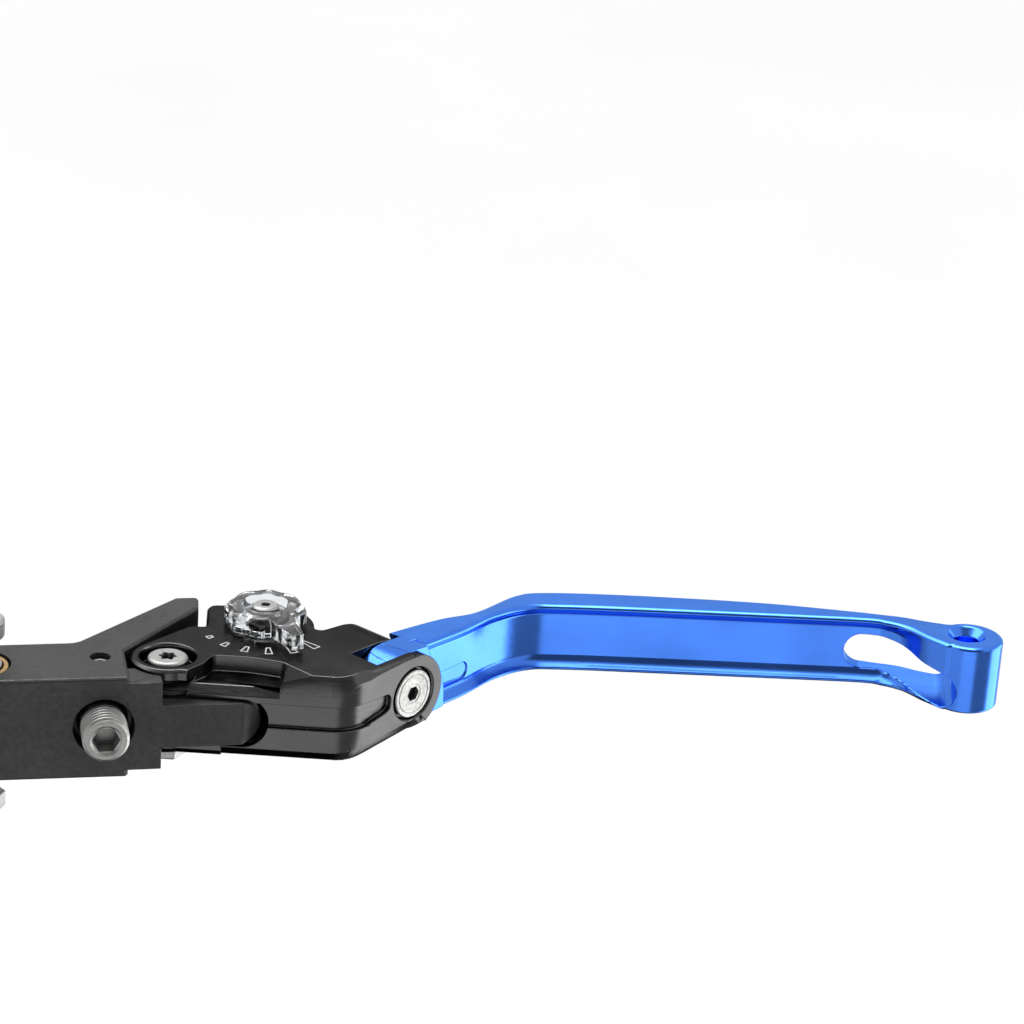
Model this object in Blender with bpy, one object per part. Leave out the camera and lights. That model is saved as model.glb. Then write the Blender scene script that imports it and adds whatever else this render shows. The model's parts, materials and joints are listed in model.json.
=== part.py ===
"""Folding, reach-adjustable motorcycle clutch lever.

Lengths in this file are millimetres and become metres when a mesh is made.  The origin is on the
perch pivot axis, at the flat lower end of the pivot bolt.  +X runs along the lever to its tip,
+Y points at the handlebar grip and +Z points up along the pivot axes.

Working frames used below:
  ADAPTER  x along the adapter's flat front face, origin on the perch pivot axis at mid-height
  LEVER    parallel to the part's own axes, origin on the reach pivot axis
  DIAL     as LEVER, origin on the dial axis
  FOLD     x along the fork, y up, z along the fold screw towards its head
"""
import math

import bmesh
import bpy
from mathutils import Matrix, Vector

MM = 0.001
GAP = 0.3
STEPS = 32
SMALL_STEPS = 20

# Adapter: the block that hangs on the bike's perch and pushes the master cylinder.
ADAPTER_YAW = math.radians(12.6)
ADAPTER_FRONT = -9.5
ADAPTER_TOP = 10.4
ADAPTER_BOTTOM = -12.8
ADAPTER_SHOULDER = 30.9
ADAPTER_STEP_END = 37.8
PERCH_END_RADIUS = 9.5
PERCH_BORE_RADIUS = 6.8
SLEEVE_OUTER = 5.0
SLEEVE_INNER = 3.1
BUSH_INNER = 5.3
REACH_PIVOT = (40.0, 2.2)
PERCH_EAR = 6.0
BOLT_RADIUS = 2.8
BOLT_HEAD_RADIUS = 5.5
MID_HEIGHT = 24.6
TONGUE_TOP = 3.6
TONGUE_BOTTOM = -6.1
TONGUE_END = 59.0
NOSE_CHAMFER = 4.9
SPRING_SEAT = (49.5, -1.2)
ARM_YAW = math.radians(49.5)
ARM_LENGTH = 24.2
PISTON_SCREW_X = 25.6
PISTON_SCREW_Z = -1.0
PISTON_SCREW_RADIUS = 5.0
PISTON_SCREW_FRONT = -16.0
PISTON_SCREW_BACK = 10.5
THREAD_PITCH = 1.25
THREAD_DEPTH = 0.45
THREAD_START = 8.0
SOCKET_RADIUS = 2.95
LOCK_PLACE = (PISTON_SCREW_X, 1.6)
LOCK_BOTTOM = PISTON_SCREW_Z + PISTON_SCREW_RADIUS + 0.4
LOCK_TOP = 9.2
LOCK_RADIUS = 1.9

# Lever body: the black link that carries the dial and the folding blade.
BODY_HALF = 10.0
BODY_FRONT = -7.3
RING_RADIUS = 8.0
CAVITY_TOP = 5.2
CAVITY_BOTTOM = -7.2
POCKET_FLOOR = 6.6
DIAL_CENTRE = (18.9, 19.4)
LOBE_CENTRE = (20.0, 20.4)
LOBE_RADIUS = 9.6
DIAL_HOLE = 3.3
WINDOW_END = 22.3
WINDOW_TOP = 4.1
WINDOW_BOTTOM = -6.9

# Fork and fold joint, given along (t) and across (n) the fork from the reach pivot.
FORK_YAW = math.radians(50.0)
FOLD_T = 39.6
FOLD_N = 28.85
FOLD_Z = 1.0
EAR_FRONT = 35.2
SLOT_FRONT = 32.8
SLOT_BACK = 24.9
SLOT_END_T = 30.1
EAR_RADIUS = 8.9
FOLD_HEAD_RADIUS = 5.45
FOLD_PIN_RADIUS = 2.8

# Blade: the blue finger lever.
BLADE_HALF = 8.1
RIM_LIP = 1.0
RIM_ROUNDING = 0.8
CHANNEL_HALF = 4.8
CHANNEL_DEPTH = 2.3
TIP_CENTRE = (175.6, 42.3)
TIP_RADIUS = 7.5
TIP_HOLE = (175.0, 43.1)
TIP_SLOT = (148.5, 173.0)
TIP_SLOT_RADIUS = 4.0
TIP_SLOT_BACK = 54.0
TIP_SLOT_TILT = math.atan(0.2)
SHOULDER_RADIUS = 9.3
FOLD_LIMIT = math.radians(60)
ROOT_RADIUS = 8.8

# Reach dial: six click positions, resting at the fifth.
CLICK_ANGLE = math.radians(20.1)
POINTER_ANGLE = math.radians(-61.6)
CAM_REST_RADIUS = 5.5
CAM_GROWTH = 1.29
KNOB_BOTTOM = 10.3
KNOB_TOP = 15.1
KNOB_RADIUS = 9.0
KNOB_RECESS = 13.1
SHAFT_TOP = 11.6
SHAFT_RADIUS = 3.0
DETENT_ARM = 5.9
DETENT_PLACE = (DIAL_CENTRE[0] - DETENT_ARM, DIAL_CENTRE[1])


def frame(x, y, z, yaw):
    return Matrix.Translation((x, y, z)) @ Matrix.Rotation(yaw, 4, "Z")


ADAPTER = frame(0, 0, MID_HEIGHT, ADAPTER_YAW)
REACH_POINT = ADAPTER @ Vector((*REACH_PIVOT, 0))
LEVER = Matrix.Translation(REACH_POINT)
DIAL = LEVER @ Matrix.Translation((*DIAL_CENTRE, 0))
FORK = LEVER @ Matrix.Rotation(FORK_YAW, 4, "Z") @ Matrix.Rotation(math.pi / 2, 4, "X")
FOLD = FORK @ Matrix.Translation((FOLD_T, FOLD_Z, FOLD_N))
PISTON = ADAPTER @ Matrix.Translation((PISTON_SCREW_X, 0, PISTON_SCREW_Z)) @ Matrix.Rotation(
    math.pi / 2, 4, "X")
SIDEWAYS = Matrix.Rotation(math.pi / 2, 4, "X")


def clear_scene():
    for item in list(bpy.data.objects):
        bpy.data.objects.remove(item, do_unlink=True)


def material(name, colour, roughness, metallic, alpha=1.0):
    made = bpy.data.materials.new(name)
    made.use_nodes = True
    shader = made.node_tree.nodes["Principled BSDF"]
    shader.inputs["Base Color"].default_value = (*colour, 1.0)
    shader.inputs["Roughness"].default_value = roughness
    shader.inputs["Metallic"].default_value = metallic
    shader.inputs["Alpha"].default_value = alpha
    return made


# ---------------------------------------------------------------- outlines

def arc(centre, radius, start, end, steps=STEPS):
    """Points from start to end degrees, counter-clockwise when end is greater."""
    count = max(2, round(abs(end - start) / 360 * steps + 0.25))
    points = []
    for i in range(count + 1):
        angle = math.radians(start + (end - start) * i / count)
        points.append(Vector((centre[0] + radius * math.cos(angle), centre[1] + radius * math.sin(angle))))
    return points


def circle(radius, steps=STEPS, centre=(0, 0)):
    return arc(centre, radius, 0, 360, steps)[:-1]


def rounded(corners):
    """Closed outline through (x, y, radius) corners, each rounded by an arc of its radius."""
    outline = []
    for i, (x, y, radius) in enumerate(corners):
        here = Vector((x, y))
        if radius == 0:
            outline.append(here)
            continue
        before = (Vector(corners[i - 1][:2]) - here).normalized()
        after = (Vector(corners[(i + 1) % len(corners)][:2]) - here).normalized()
        half = before.angle(after) / 2
        centre = here + (before + after).normalized() * radius / math.sin(half)
        first = here + before * radius / math.tan(half) - centre
        last = here + after * radius / math.tan(half) - centre
        start = math.degrees(math.atan2(first.y, first.x))
        turn = math.degrees(math.atan2(first.cross(last), first.dot(last)))
        outline += arc(centre, radius, start, start + turn)
    return outline


def sharp(points):
    return [(p[0], p[1], 0) for p in points]


def spline(points, steps=4):
    """Smooth open curve through points (Catmull-Rom)."""
    ends = [2 * Vector(points[0]) - Vector(points[1])], [2 * Vector(points[-1]) - Vector(points[-2])]
    knots = ends[0] + [Vector(p) for p in points] + ends[1]
    curve = []
    for a, b, c, d in zip(knots, knots[1:], knots[2:], knots[3:]):
        for i in range(steps):
            u = i / steps
            curve.append(0.5 * (2 * b + (c - a) * u + (2 * a - 5 * b + 4 * c - d) * u ** 2
                                + (3 * b - 3 * c + d - a) * u ** 3))
    return curve + [Vector(points[-1])]


def inset(outline, distance):
    """Counter-clockwise outline moved inwards, with mitred corners."""
    moved = []
    for i, here in enumerate(outline):
        before = (here - outline[i - 1]).normalized()
        after = (outline[(i + 1) % len(outline)] - here).normalized()
        normal = Vector((-before.y - after.y, before.x + after.x)).normalized()
        spread = max(0.4, normal.dot(Vector((-after.y, after.x))))
        moved.append(here + normal * distance / spread)
    return moved


def fork_point(t, n):
    """Plan position in the LEVER frame of a point t along and n across the fork."""
    return Vector((math.cos(FORK_YAW) * t + math.sin(FORK_YAW) * n,
                   math.sin(FORK_YAW) * t - math.cos(FORK_YAW) * n))


# ---------------------------------------------------------------- solids

def loft(levels):
    """Closed solid through levels, each (height, outline) with the same number of points."""
    mesh = bmesh.new()
    rings = [[mesh.verts.new((p[0], p[1], z)) for p in outline] for z, outline in levels]
    mesh.faces.new(list(reversed(rings[0])))
    mesh.faces.new(rings[-1])
    for low, high in zip(rings, rings[1:]):
        for i in range(len(low)):
            j = (i + 1) % len(low)
            mesh.faces.new((low[i], low[j], high[j], high[i]))
    return mesh


def prism(outline, bottom, top, low_chamfer=0.0, high_chamfer=0.0):
    levels = [(bottom, inset(outline, low_chamfer)) if low_chamfer else (bottom, outline)]
    if low_chamfer:
        levels.append((bottom + low_chamfer, outline))
    if high_chamfer:
        levels.append((top - high_chamfer, outline))
    levels.append((top, inset(outline, high_chamfer)) if high_chamfer else (top, outline))
    return loft(levels)


def block(low, high):
    corners = ((low[0], low[1]), (high[0], low[1]), (high[0], high[1]), (low[0], high[1]))
    return prism([Vector(p) for p in corners], low[2], high[2])


def turned(profile, steps=STEPS):
    """Solid turned about Z from (radius, height) points; a profile off the axis closes into a ring."""
    mesh = bmesh.new()
    verts = [mesh.verts.new((r, 0, z)) for r, z in profile]
    edges = [mesh.edges.new(pair) for pair in zip(verts, verts[1:])]
    if profile[0][0] > 0:
        edges.append(mesh.edges.new((verts[-1], verts[0])))
    bmesh.ops.spin(mesh, geom=verts + edges, cent=(0, 0, 0), axis=(0, 0, 1), angle=2 * math.pi,
                   steps=steps, use_merge=True)
    bmesh.ops.remove_doubles(mesh, verts=mesh.verts, dist=0.0005)
    bmesh.ops.recalc_face_normals(mesh, faces=mesh.faces)
    return mesh


def tube(outer, inner, bottom, top, chamfer=0.3, steps=STEPS):
    return turned([(inner, bottom), (outer - chamfer, bottom), (outer, bottom + chamfer),
                   (outer, top - chamfer), (outer - chamfer, top), (inner, top)], steps)


def rod(radius, bottom, top, chamfer=0.3, steps=STEPS):
    return turned([(0, bottom), (radius - chamfer, bottom), (radius, bottom + chamfer),
                   (radius, top - chamfer), (radius - chamfer, top), (0, top)], steps)


def coil(radius, wire, turns, pitch, steps=12, sides=5):
    """Round wire wound about Z from height 0 up."""
    mesh = bmesh.new()
    slope = pitch / (2 * math.pi * radius)
    rings = []
    for i in range(round(turns * steps) + 1):
        angle = 2 * math.pi * i / steps
        out = Vector((math.cos(angle), math.sin(angle), 0))
        along = Vector((-math.sin(angle), math.cos(angle), slope)).normalized()
        up = along.cross(out) * -1
        centre = out * radius + Vector((0, 0, pitch * i / steps))
        ring = []
        for k in range(sides):
            turn = 2 * math.pi * k / sides
            ring.append(mesh.verts.new(centre + (out * math.cos(turn) + up * math.sin(turn)) * wire))
        rings.append(ring)
    for one, two in zip(rings, rings[1:]):
        for k in range(sides):
            m = (k + 1) % sides
            mesh.faces.new((one[k], one[m], two[m], two[k]))
    mesh.faces.new(rings[0])
    mesh.faces.new(rings[-1])
    bmesh.ops.recalc_face_normals(mesh, faces=mesh.faces)
    return mesh


# ---------------------------------------------------------------- objects

def empty(name, place, parent=None):
    made = bpy.data.objects.new(name, None)
    bpy.context.scene.collection.objects.link(made)
    made.parent = parent[0] if parent else None
    world = Matrix.Translation(place.translation * MM) @ place.to_quaternion().to_matrix().to_4x4()
    made.matrix_basis = (parent[1].inverted() @ world) if parent else world
    return made, world


def add(name, mesh, place, axis, finish=None):
    """Makes an object from a bmesh drawn in millimetres in the frame place, hung on an axis empty."""
    bmesh.ops.transform(mesh, matrix=Matrix.Scale(MM, 4) @ place, verts=mesh.verts)
    bmesh.ops.transform(mesh, matrix=axis[1].inverted(), verts=mesh.verts)
    data = bpy.data.meshes.new(name)
    mesh.to_mesh(data)
    mesh.free()
    made = bpy.data.objects.new(name, data)
    bpy.context.scene.collection.objects.link(made)
    made.parent = axis[0]
    if finish:
        data.materials.append(finish)
        data.shade_smooth()
        data.set_sharp_from_angle(angle=math.radians(35))
    return made


def combine(target, name, mesh, place, axis, operation="DIFFERENCE"):
    """Cuts a shape from target, or joins it on, with an exact Boolean modifier."""
    cutter = add(name, mesh, place, axis)
    cutter.hide_render = True
    cutter.display_type = "WIRE"
    modifier = target.modifiers.new(name, "BOOLEAN")
    modifier.operation = operation
    modifier.object = cutter
    modifier.solver = "EXACT"


# ---------------------------------------------------------------- perch pivot and adapter

def build_perch_pivot(axis, steel):
    add("perch_pivot_sleeve", tube(SLEEVE_OUTER, SLEEVE_INNER, ADAPTER_BOTTOM - GAP, ADAPTER_TOP + GAP),
        ADAPTER, axis, steel)
    seat = ADAPTER_TOP + PERCH_EAR + 2 * GAP
    bolt = add("perch_pivot_bolt", turned([
        (0, -MID_HEIGHT), (BOLT_RADIUS - GAP, -MID_HEIGHT), (BOLT_RADIUS, GAP - MID_HEIGHT),
        (BOLT_RADIUS, seat), (BOLT_HEAD_RADIUS, seat), (BOLT_HEAD_RADIUS, seat + 3.4),
        (BOLT_HEAD_RADIUS - 0.4, seat + 3.8), (0, seat + 3.8)], 24), ADAPTER, axis, steel)
    combine(bolt, "perch_bolt_socket", prism(circle(2.9, 6), seat + 1.4, seat + 9), ADAPTER, axis)
    under = ADAPTER_BOTTOM - PERCH_EAR - 2 * GAP
    nut = add("perch_pivot_nut", prism(circle(5.8, 6), under - 4.0, under, 0.4, 0.4), ADAPTER, axis, steel)
    combine(nut, "perch_nut_bore", prism(circle(BOLT_RADIUS + GAP, 24), -40, 0), ADAPTER, axis)


def adapter_outline():
    """Full-height block with its round perch end and the arm that leans behind the lever body."""
    along = Vector((math.cos(ARM_YAW), math.sin(ARM_YAW)))
    foot = Vector(REACH_PIVOT) + 8.6 * Vector((-along.y, along.x))
    low = foot + along * ((ADAPTER_SHOULDER - foot.x) / along.x)
    tip = foot + along * ARM_LENGTH
    corners = sharp(arc((0, 0), PERCH_END_RADIUS, 75, 270))
    corners += [(ADAPTER_SHOULDER, ADAPTER_FRONT, 0.8), (low.x, low.y, 0)]
    corners += [(tip.x, tip.y, 0.8), (tip.x + 0.6, tip.y + 5.6, 1.0), (tip.x - 4.6, tip.y + 5.6, 1.5)]
    corners += [(21.0, 9.3, 4.0)]
    return rounded(corners)


def build_adapter(axis, dark):
    block_shape = prism(adapter_outline(), ADAPTER_BOTTOM, ADAPTER_TOP, 0.5, 0.5)
    adapter = add("adapter_block", block_shape, ADAPTER, axis, dark)
    step = block((ADAPTER_SHOULDER - 4, ADAPTER_FRONT, -11.1), (ADAPTER_STEP_END, -2.0, 9.1))
    combine(adapter, "adapter_step", step, ADAPTER, axis, "UNION")
    ring_room = prism(circle(RING_RADIUS + 0.45, centre=REACH_PIVOT), -20, 20)
    combine(adapter, "ring_room", ring_room, ADAPTER, axis)
    tab_end = sharp(arc(REACH_PIVOT, 8.2, -60, 118))
    tab = rounded(tab_end + [(29.5, 10.0, 0), (29.5, -9.2, 0), (42.0, -9.2, 0)])
    combine(adapter, "adapter_tab", prism(tab, TONGUE_BOTTOM, TONGUE_TOP), ADAPTER, axis, "UNION")
    build_tongue(adapter, axis)
    build_cam_pad(adapter, axis)
    for name, radius, centre in (("perch_bore", PERCH_BORE_RADIUS, (0, 0)), ("reach_bore", 4.4, REACH_PIVOT)):
        combine(adapter, name, prism(circle(radius, centre=centre), -20, 20), ADAPTER, axis)
    combine(adapter, "piston_bore", prism(circle(PISTON_SCREW_RADIUS + GAP), -20, 20), PISTON, axis)
    combine(adapter, "piston_counterbore", prism(circle(PISTON_SCREW_RADIUS + 1.4), 5.0, 20), PISTON, axis)
    lock_hole = prism(circle(LOCK_RADIUS + GAP, SMALL_STEPS, LOCK_PLACE), PISTON_SCREW_RADIUS - 1, 20)
    combine(adapter, "lock_hole", lock_hole, ADAPTER, axis)
    return adapter


def build_tongue(adapter, axis):
    """Front tongue with a round nose, chamfered where it shows in the body's window."""
    middle = (TONGUE_TOP + TONGUE_BOTTOM) / 2
    half = (TONGUE_TOP - TONGUE_BOTTOM) / 2
    side = rounded(sharp(arc((TONGUE_END - half, middle), half, -90, 90)) + [(36.0, TONGUE_TOP, 0),
                                                                              (36.0, TONGUE_BOTTOM, 0)])
    place = ADAPTER @ SIDEWAYS
    combine(adapter, "adapter_tongue", prism(side, 4.2, -ADAPTER_FRONT), place, axis, "UNION")
    nose = [Vector(p) for p in ((TONGUE_END - NOSE_CHAMFER, ADAPTER_FRONT - GAP),
                                (TONGUE_END + 2, ADAPTER_FRONT - GAP), (TONGUE_END + 2, ADAPTER_FRONT + 3.2))]
    combine(adapter, "nose_chamfer", prism(nose, -20, 20), ADAPTER, axis)
    spring_seat = prism(circle(2.5, SMALL_STEPS, SPRING_SEAT), -1.0, 6.2)
    combine(adapter, "spring_seat", spring_seat, place, axis)


def build_cam_pad(adapter, axis):
    """Low end of the arm, reaching under the body's top plate behind the cam."""
    front = DIAL_CENTRE[1] + cam_reach() + GAP
    pad = rounded([(-4.0, front - 3.0, 0), (2.8, front - 3.0, 0.5), (5.2, front, 0.5), (24.0, front, 1.0),
                   (24.0, front + 4.0, 1.5), (-4.0, front + 4.0, 0)])
    combine(adapter, "cam_pad", prism(pad, TONGUE_BOTTOM, TONGUE_TOP), LEVER, axis, "UNION")


def build_adapter_hardware(axis, bronze, steel, polymer):
    bush = tube(PERCH_BORE_RADIUS - GAP, BUSH_INNER, ADAPTER_BOTTOM + 0.4, ADAPTER_TOP - 0.4)
    add("perch_pivot_bush", bush, ADAPTER, axis, bronze)
    at_reach = ADAPTER @ Matrix.Translation((*REACH_PIVOT, 0))
    sleeve = tube(4.1, 2.8, CAVITY_BOTTOM + GAP, CAVITY_TOP - GAP, 0.2, SMALL_STEPS)
    add("reach_pivot_sleeve", sleeve, at_reach, axis, steel)
    for name, low, high in (("upper", TONGUE_TOP, CAVITY_TOP), ("lower", CAVITY_BOTTOM, TONGUE_BOTTOM)):
        washer = tube(7.4, 4.4, low + GAP, high - GAP, 0.1, SMALL_STEPS)
        add(f"reach_washer_{name}", washer, at_reach, axis, polymer)
    at_lock = ADAPTER @ Matrix.Translation((*LOCK_PLACE, 0))
    shank = rod(LOCK_RADIUS, LOCK_BOTTOM, LOCK_TOP, 0.3, SMALL_STEPS)
    lock = add("piston_lock_screw", shank, at_lock, axis, steel)
    combine(lock, "lock_socket", prism(circle(1.0, 6), LOCK_TOP - 1.6, LOCK_TOP + 3), at_lock, axis)
    seat = ADAPTER @ SIDEWAYS @ Matrix.Translation((*SPRING_SEAT, 1.8))
    add("reach_return_spring", coil(1.8, 0.35, 3.5, 1.15), seat, axis, steel)


def build_piston_screw(axis, steel):
    """Threaded set screw with a thin dog end; turns of thread show where it stands out of the adapter."""
    front = -PISTON_SCREW_FRONT
    back = -PISTON_SCREW_BACK
    root = PISTON_SCREW_RADIUS - THREAD_DEPTH
    dog = 3.0
    profile = [(0, back), (dog - 0.4, back), (dog, back + 0.6), (dog, back + 4.0), (root, back + 4.6),
               (root, THREAD_START)]
    low = THREAD_START
    while low + THREAD_PITCH < front - 0.9:
        profile += [(PISTON_SCREW_RADIUS, low + 0.45 * THREAD_PITCH),
                    (PISTON_SCREW_RADIUS, low + 0.6 * THREAD_PITCH), (root, low + THREAD_PITCH)]
        low += THREAD_PITCH
    profile += [(PISTON_SCREW_RADIUS, low + 0.45 * THREAD_PITCH), (PISTON_SCREW_RADIUS, front - 0.5),
                (PISTON_SCREW_RADIUS - 0.5, front), (0, front)]
    screw = add("piston_adjuster_screw", turned(profile, 28), PISTON, axis, steel)
    combine(screw, "adjuster_socket", prism(circle(SOCKET_RADIUS, 6), front - 4.5, front + 2), PISTON, axis)


# ---------------------------------------------------------------- lever body

def body_outline():
    """Plan of the lever body: pivot ring, slanted back edge, dial lobe, fork block and flat front."""
    ring_in = 141.8
    corners = sharp(arc((0, 0), RING_RADIUS, ring_in, 294))
    bend = (EAR_FRONT + BODY_FRONT * math.cos(FORK_YAW)) / math.sin(FORK_YAW)
    corners.append((bend, BODY_FRONT, 9.3))
    fork_end = FOLD_T + EAR_RADIUS + 1.0
    front_tip = fork_point(fork_end, EAR_FRONT)
    back_tip = fork_point(fork_end, 15.2)
    corners += [(*front_tip, 0), (*back_tip, 0), (35.6, 22.6, 4.0), (30.6, 17.9, 1.2)]
    corners += sharp(arc(LOBE_CENTRE, LOBE_RADIUS, 0, 98))
    corners += [(5.4, 28.2, 2.2), (6.3, 16.6, 0.8), (2.7, 16.3, 2.2)]
    return rounded(corners)


def build_body(axis, black):
    body = add("lever_body", prism(body_outline(), -BODY_HALF, BODY_HALF, 1.8, 0.6), LEVER, axis, black)
    rounding = [Vector((20.0, -BODY_HALF)), Vector((FOLD_T, FOLD_Z - EAR_RADIUS))]
    rounding += arc((FOLD_T, FOLD_Z), EAR_RADIUS, -90, 90)[1:]
    rounding += [Vector(p) for p in ((FOLD_T, 14), (58, 14), (58, -14), (20.0, -14))]
    combine(body, "fork_rounding", prism(list(reversed(rounding)), 8, 42), FORK, axis)
    combine(body, "fork_slot", block((SLOT_END_T, -14, SLOT_BACK), (60, 14, SLOT_FRONT)), FORK, axis)
    cavity = rounded([(-20, -4.0, 0), (23.0, -4.0, 3.0), (27.6, 3.0, 3.0), (27.6, 14.0, 3.0), (27.6, 40, 0),
                      (-20, 40, 0)])
    combine(body, "adapter_cavity", prism(cavity, CAVITY_BOTTOM, CAVITY_TOP), LEVER, axis)
    combine(body, "boss_room", prism(circle(8.7), CAVITY_BOTTOM, CAVITY_TOP), LEVER, axis)
    half = (WINDOW_TOP - WINDOW_BOTTOM) / 2
    middle = (WINDOW_TOP + WINDOW_BOTTOM) / 2
    window = rounded(sharp(arc((WINDOW_END - half, middle), half, -90, 90)) + [(-20, WINDOW_TOP, 0),
                                                                               (-20, WINDOW_BOTTOM, 0)])
    combine(body, "tongue_window", prism(window, 2.0, 20), LEVER @ SIDEWAYS, axis)
    build_pocket(body, axis)
    combine(body, "screw_seat", turned([(0, 7.0), (5.9, 7.0), (5.9, 9.3), (6.9, 11), (0, 11)]), LEVER, axis)
    combine(body, "reach_screw_hole", prism(circle(2.8, SMALL_STEPS), -20, 20), LEVER, axis)
    combine(body, "dial_hole", prism(circle(DIAL_HOLE), 0, 20), DIAL, axis)
    combine(body, "seal_groove", prism(circle(4.9), 8.4, 12), DIAL, axis)
    combine(body, "cam_journal_hole", prism(circle(2.4, SMALL_STEPS), -20, 0), DIAL, axis)
    front = EAR_FRONT - FOLD_N
    combine(body, "fold_head_recess", prism(circle(FOLD_HEAD_RADIUS + 0.5), front - 1.5, 12), FOLD, axis)
    combine(body, "fold_hole", prism(circle(FOLD_PIN_RADIUS + GAP), -30, 20), FOLD, axis)
    combine(body, "fold_nut_recess", prism(circle(4.9), -24, 19.9 - FOLD_N), FOLD, axis)
    combine(body, "detent_hole", prism(circle(1.15, 12, DETENT_PLACE), 6.4, 20), LEVER, axis)
    return body


def build_pocket(body, axis):
    """Milled pocket in the top front edge with a slanted right end."""
    floor = [(3.6, -12), (25.2, -12), (24.4, -0.2), (17.2, 1.4), (9.6, 1.2), (8.2, -2.6), (5.2, -6.4)]
    rim = [(3.4, -12), (38.6, -12), (24.8, 0.1), (17.2, 1.7), (9.3, 1.5), (7.9, -2.7), (4.9, -6.7)]
    high = BODY_HALF + 2
    shape = loft([(POCKET_FLOOR, [Vector(p) for p in floor]), (BODY_HALF, [Vector(p) for p in rim]),
                  (high, [Vector(p) for p in rim])])
    combine(body, "front_pocket", shape, LEVER, axis)


def build_body_hardware(axis, steel, polymer):
    head = turned([(0, 5.6), (2.4, 5.6), (2.4, 7.3), (4.0, 7.3), (4.4, 7.7), (4.4, 9.2), (4.0, 9.7),
                   (2.9, 9.9), (0, 9.9)])
    screw = add("reach_pivot_screw", head, LEVER, axis, steel)
    combine(screw, "pivot_screw_shank", rod(2.4, -13.4, 6.4, 0.3, SMALL_STEPS), LEVER, axis, "UNION")
    lobes = []
    for i in range(24):
        angle = math.radians(i * 15)
        radius = 1.75 + 0.3 * math.cos(6 * angle)
        lobes.append(Vector((radius * math.cos(angle), radius * math.sin(angle))))
    combine(screw, "pivot_screw_socket", prism(lobes, 8.1, 12), LEVER, axis)
    nut = rounded([(4.6 * math.cos(math.radians(a)), 4.6 * math.sin(math.radians(a)), 0.6)
                   for a in range(0, 360, 60)])
    pivot_nut = add("reach_pivot_nut", prism(nut, -12.9, -BODY_HALF - GAP, 0.5, 0.2), LEVER, axis, steel)
    combine(pivot_nut, "pivot_nut_bore", prism(circle(2.7, SMALL_STEPS), -20, 0), LEVER, axis)
    add("fold_pivot_screw", turned([(0, 18.2 - FOLD_N), (FOLD_PIN_RADIUS - 0.3, 18.2 - FOLD_N),
                                    (FOLD_PIN_RADIUS, 18.5 - FOLD_N), (FOLD_PIN_RADIUS, 5.15),
                                    (FOLD_HEAD_RADIUS, 5.15), (FOLD_HEAD_RADIUS, 6.1),
                                    (FOLD_HEAD_RADIUS - 0.2, 6.3), (0, 6.3)]), FOLD, axis, steel)
    combine(bpy.data.objects["fold_pivot_screw"], "fold_socket", prism(circle(1.75, 6), 4.4, 8), FOLD, axis)
    add("fold_pivot_nut", tube(4.6, 3.1, 15.4 - FOLD_N, 19.6 - FOLD_N, 0.4, SMALL_STEPS), FOLD, axis, steel)
    detent = LEVER @ Matrix.Translation((*DETENT_PLACE, 0))
    spring_place = detent @ Matrix.Translation((0, 0, 6.9))
    add("dial_detent_spring", coil(0.62, 0.16, 3.5, 0.54, 8, 4), spring_place, axis, steel)
    ball = [(0.85 * math.sin(math.radians(a)), -0.85 * math.cos(math.radians(a))) for a in range(0, 181, 30)]
    ball[0] = (0, -0.85)
    ball[-1] = (0, 0.85)
    add("dial_detent_ball", turned(ball, 12), detent @ Matrix.Translation((0, 0, 10.35)), axis, steel)
    ring = [(4.1 + 0.55 * math.cos(math.radians(a)), 9.3 + 0.55 * math.sin(math.radians(a)))
            for a in range(0, 360, 60)]
    add("dial_seal_ring", turned(ring, 24), DIAL, axis, polymer)


# ---------------------------------------------------------------- reach dial

def cam_radius(angle):
    """Spiral that pushes on the pad over the six clicks, then falls back to its smallest radius."""
    low = math.radians(60)
    high = math.radians(185)
    turn = (angle - low) % (2 * math.pi)
    smallest = CAM_REST_RADIUS + CAM_GROWTH * (low - math.pi / 2)
    largest = CAM_REST_RADIUS + CAM_GROWTH * (high - math.pi / 2)
    if turn <= high - low:
        return smallest + CAM_GROWTH * turn
    back = (turn - (high - low)) / (2 * math.pi - (high - low))
    return largest + (smallest - largest) * (3 * back ** 2 - 2 * back ** 3)


def cam_outline():
    points = []
    for i in range(48):
        angle = 2 * math.pi * i / 48
        radius = cam_radius(angle)
        points.append(Vector((radius * math.cos(angle), radius * math.sin(angle))))
    return points


def cam_reach():
    """How far the cam stands towards the pad, +Y, at rest."""
    return max(p.y for p in cam_outline())


def knob_outline(radius):
    corner = 22.5
    points = []
    for i in range(8):
        angle = math.radians(corner + 45 * i)
        points.append((radius * math.cos(angle), radius * math.sin(angle), radius * 0.28))
    return rounded(points)


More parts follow.
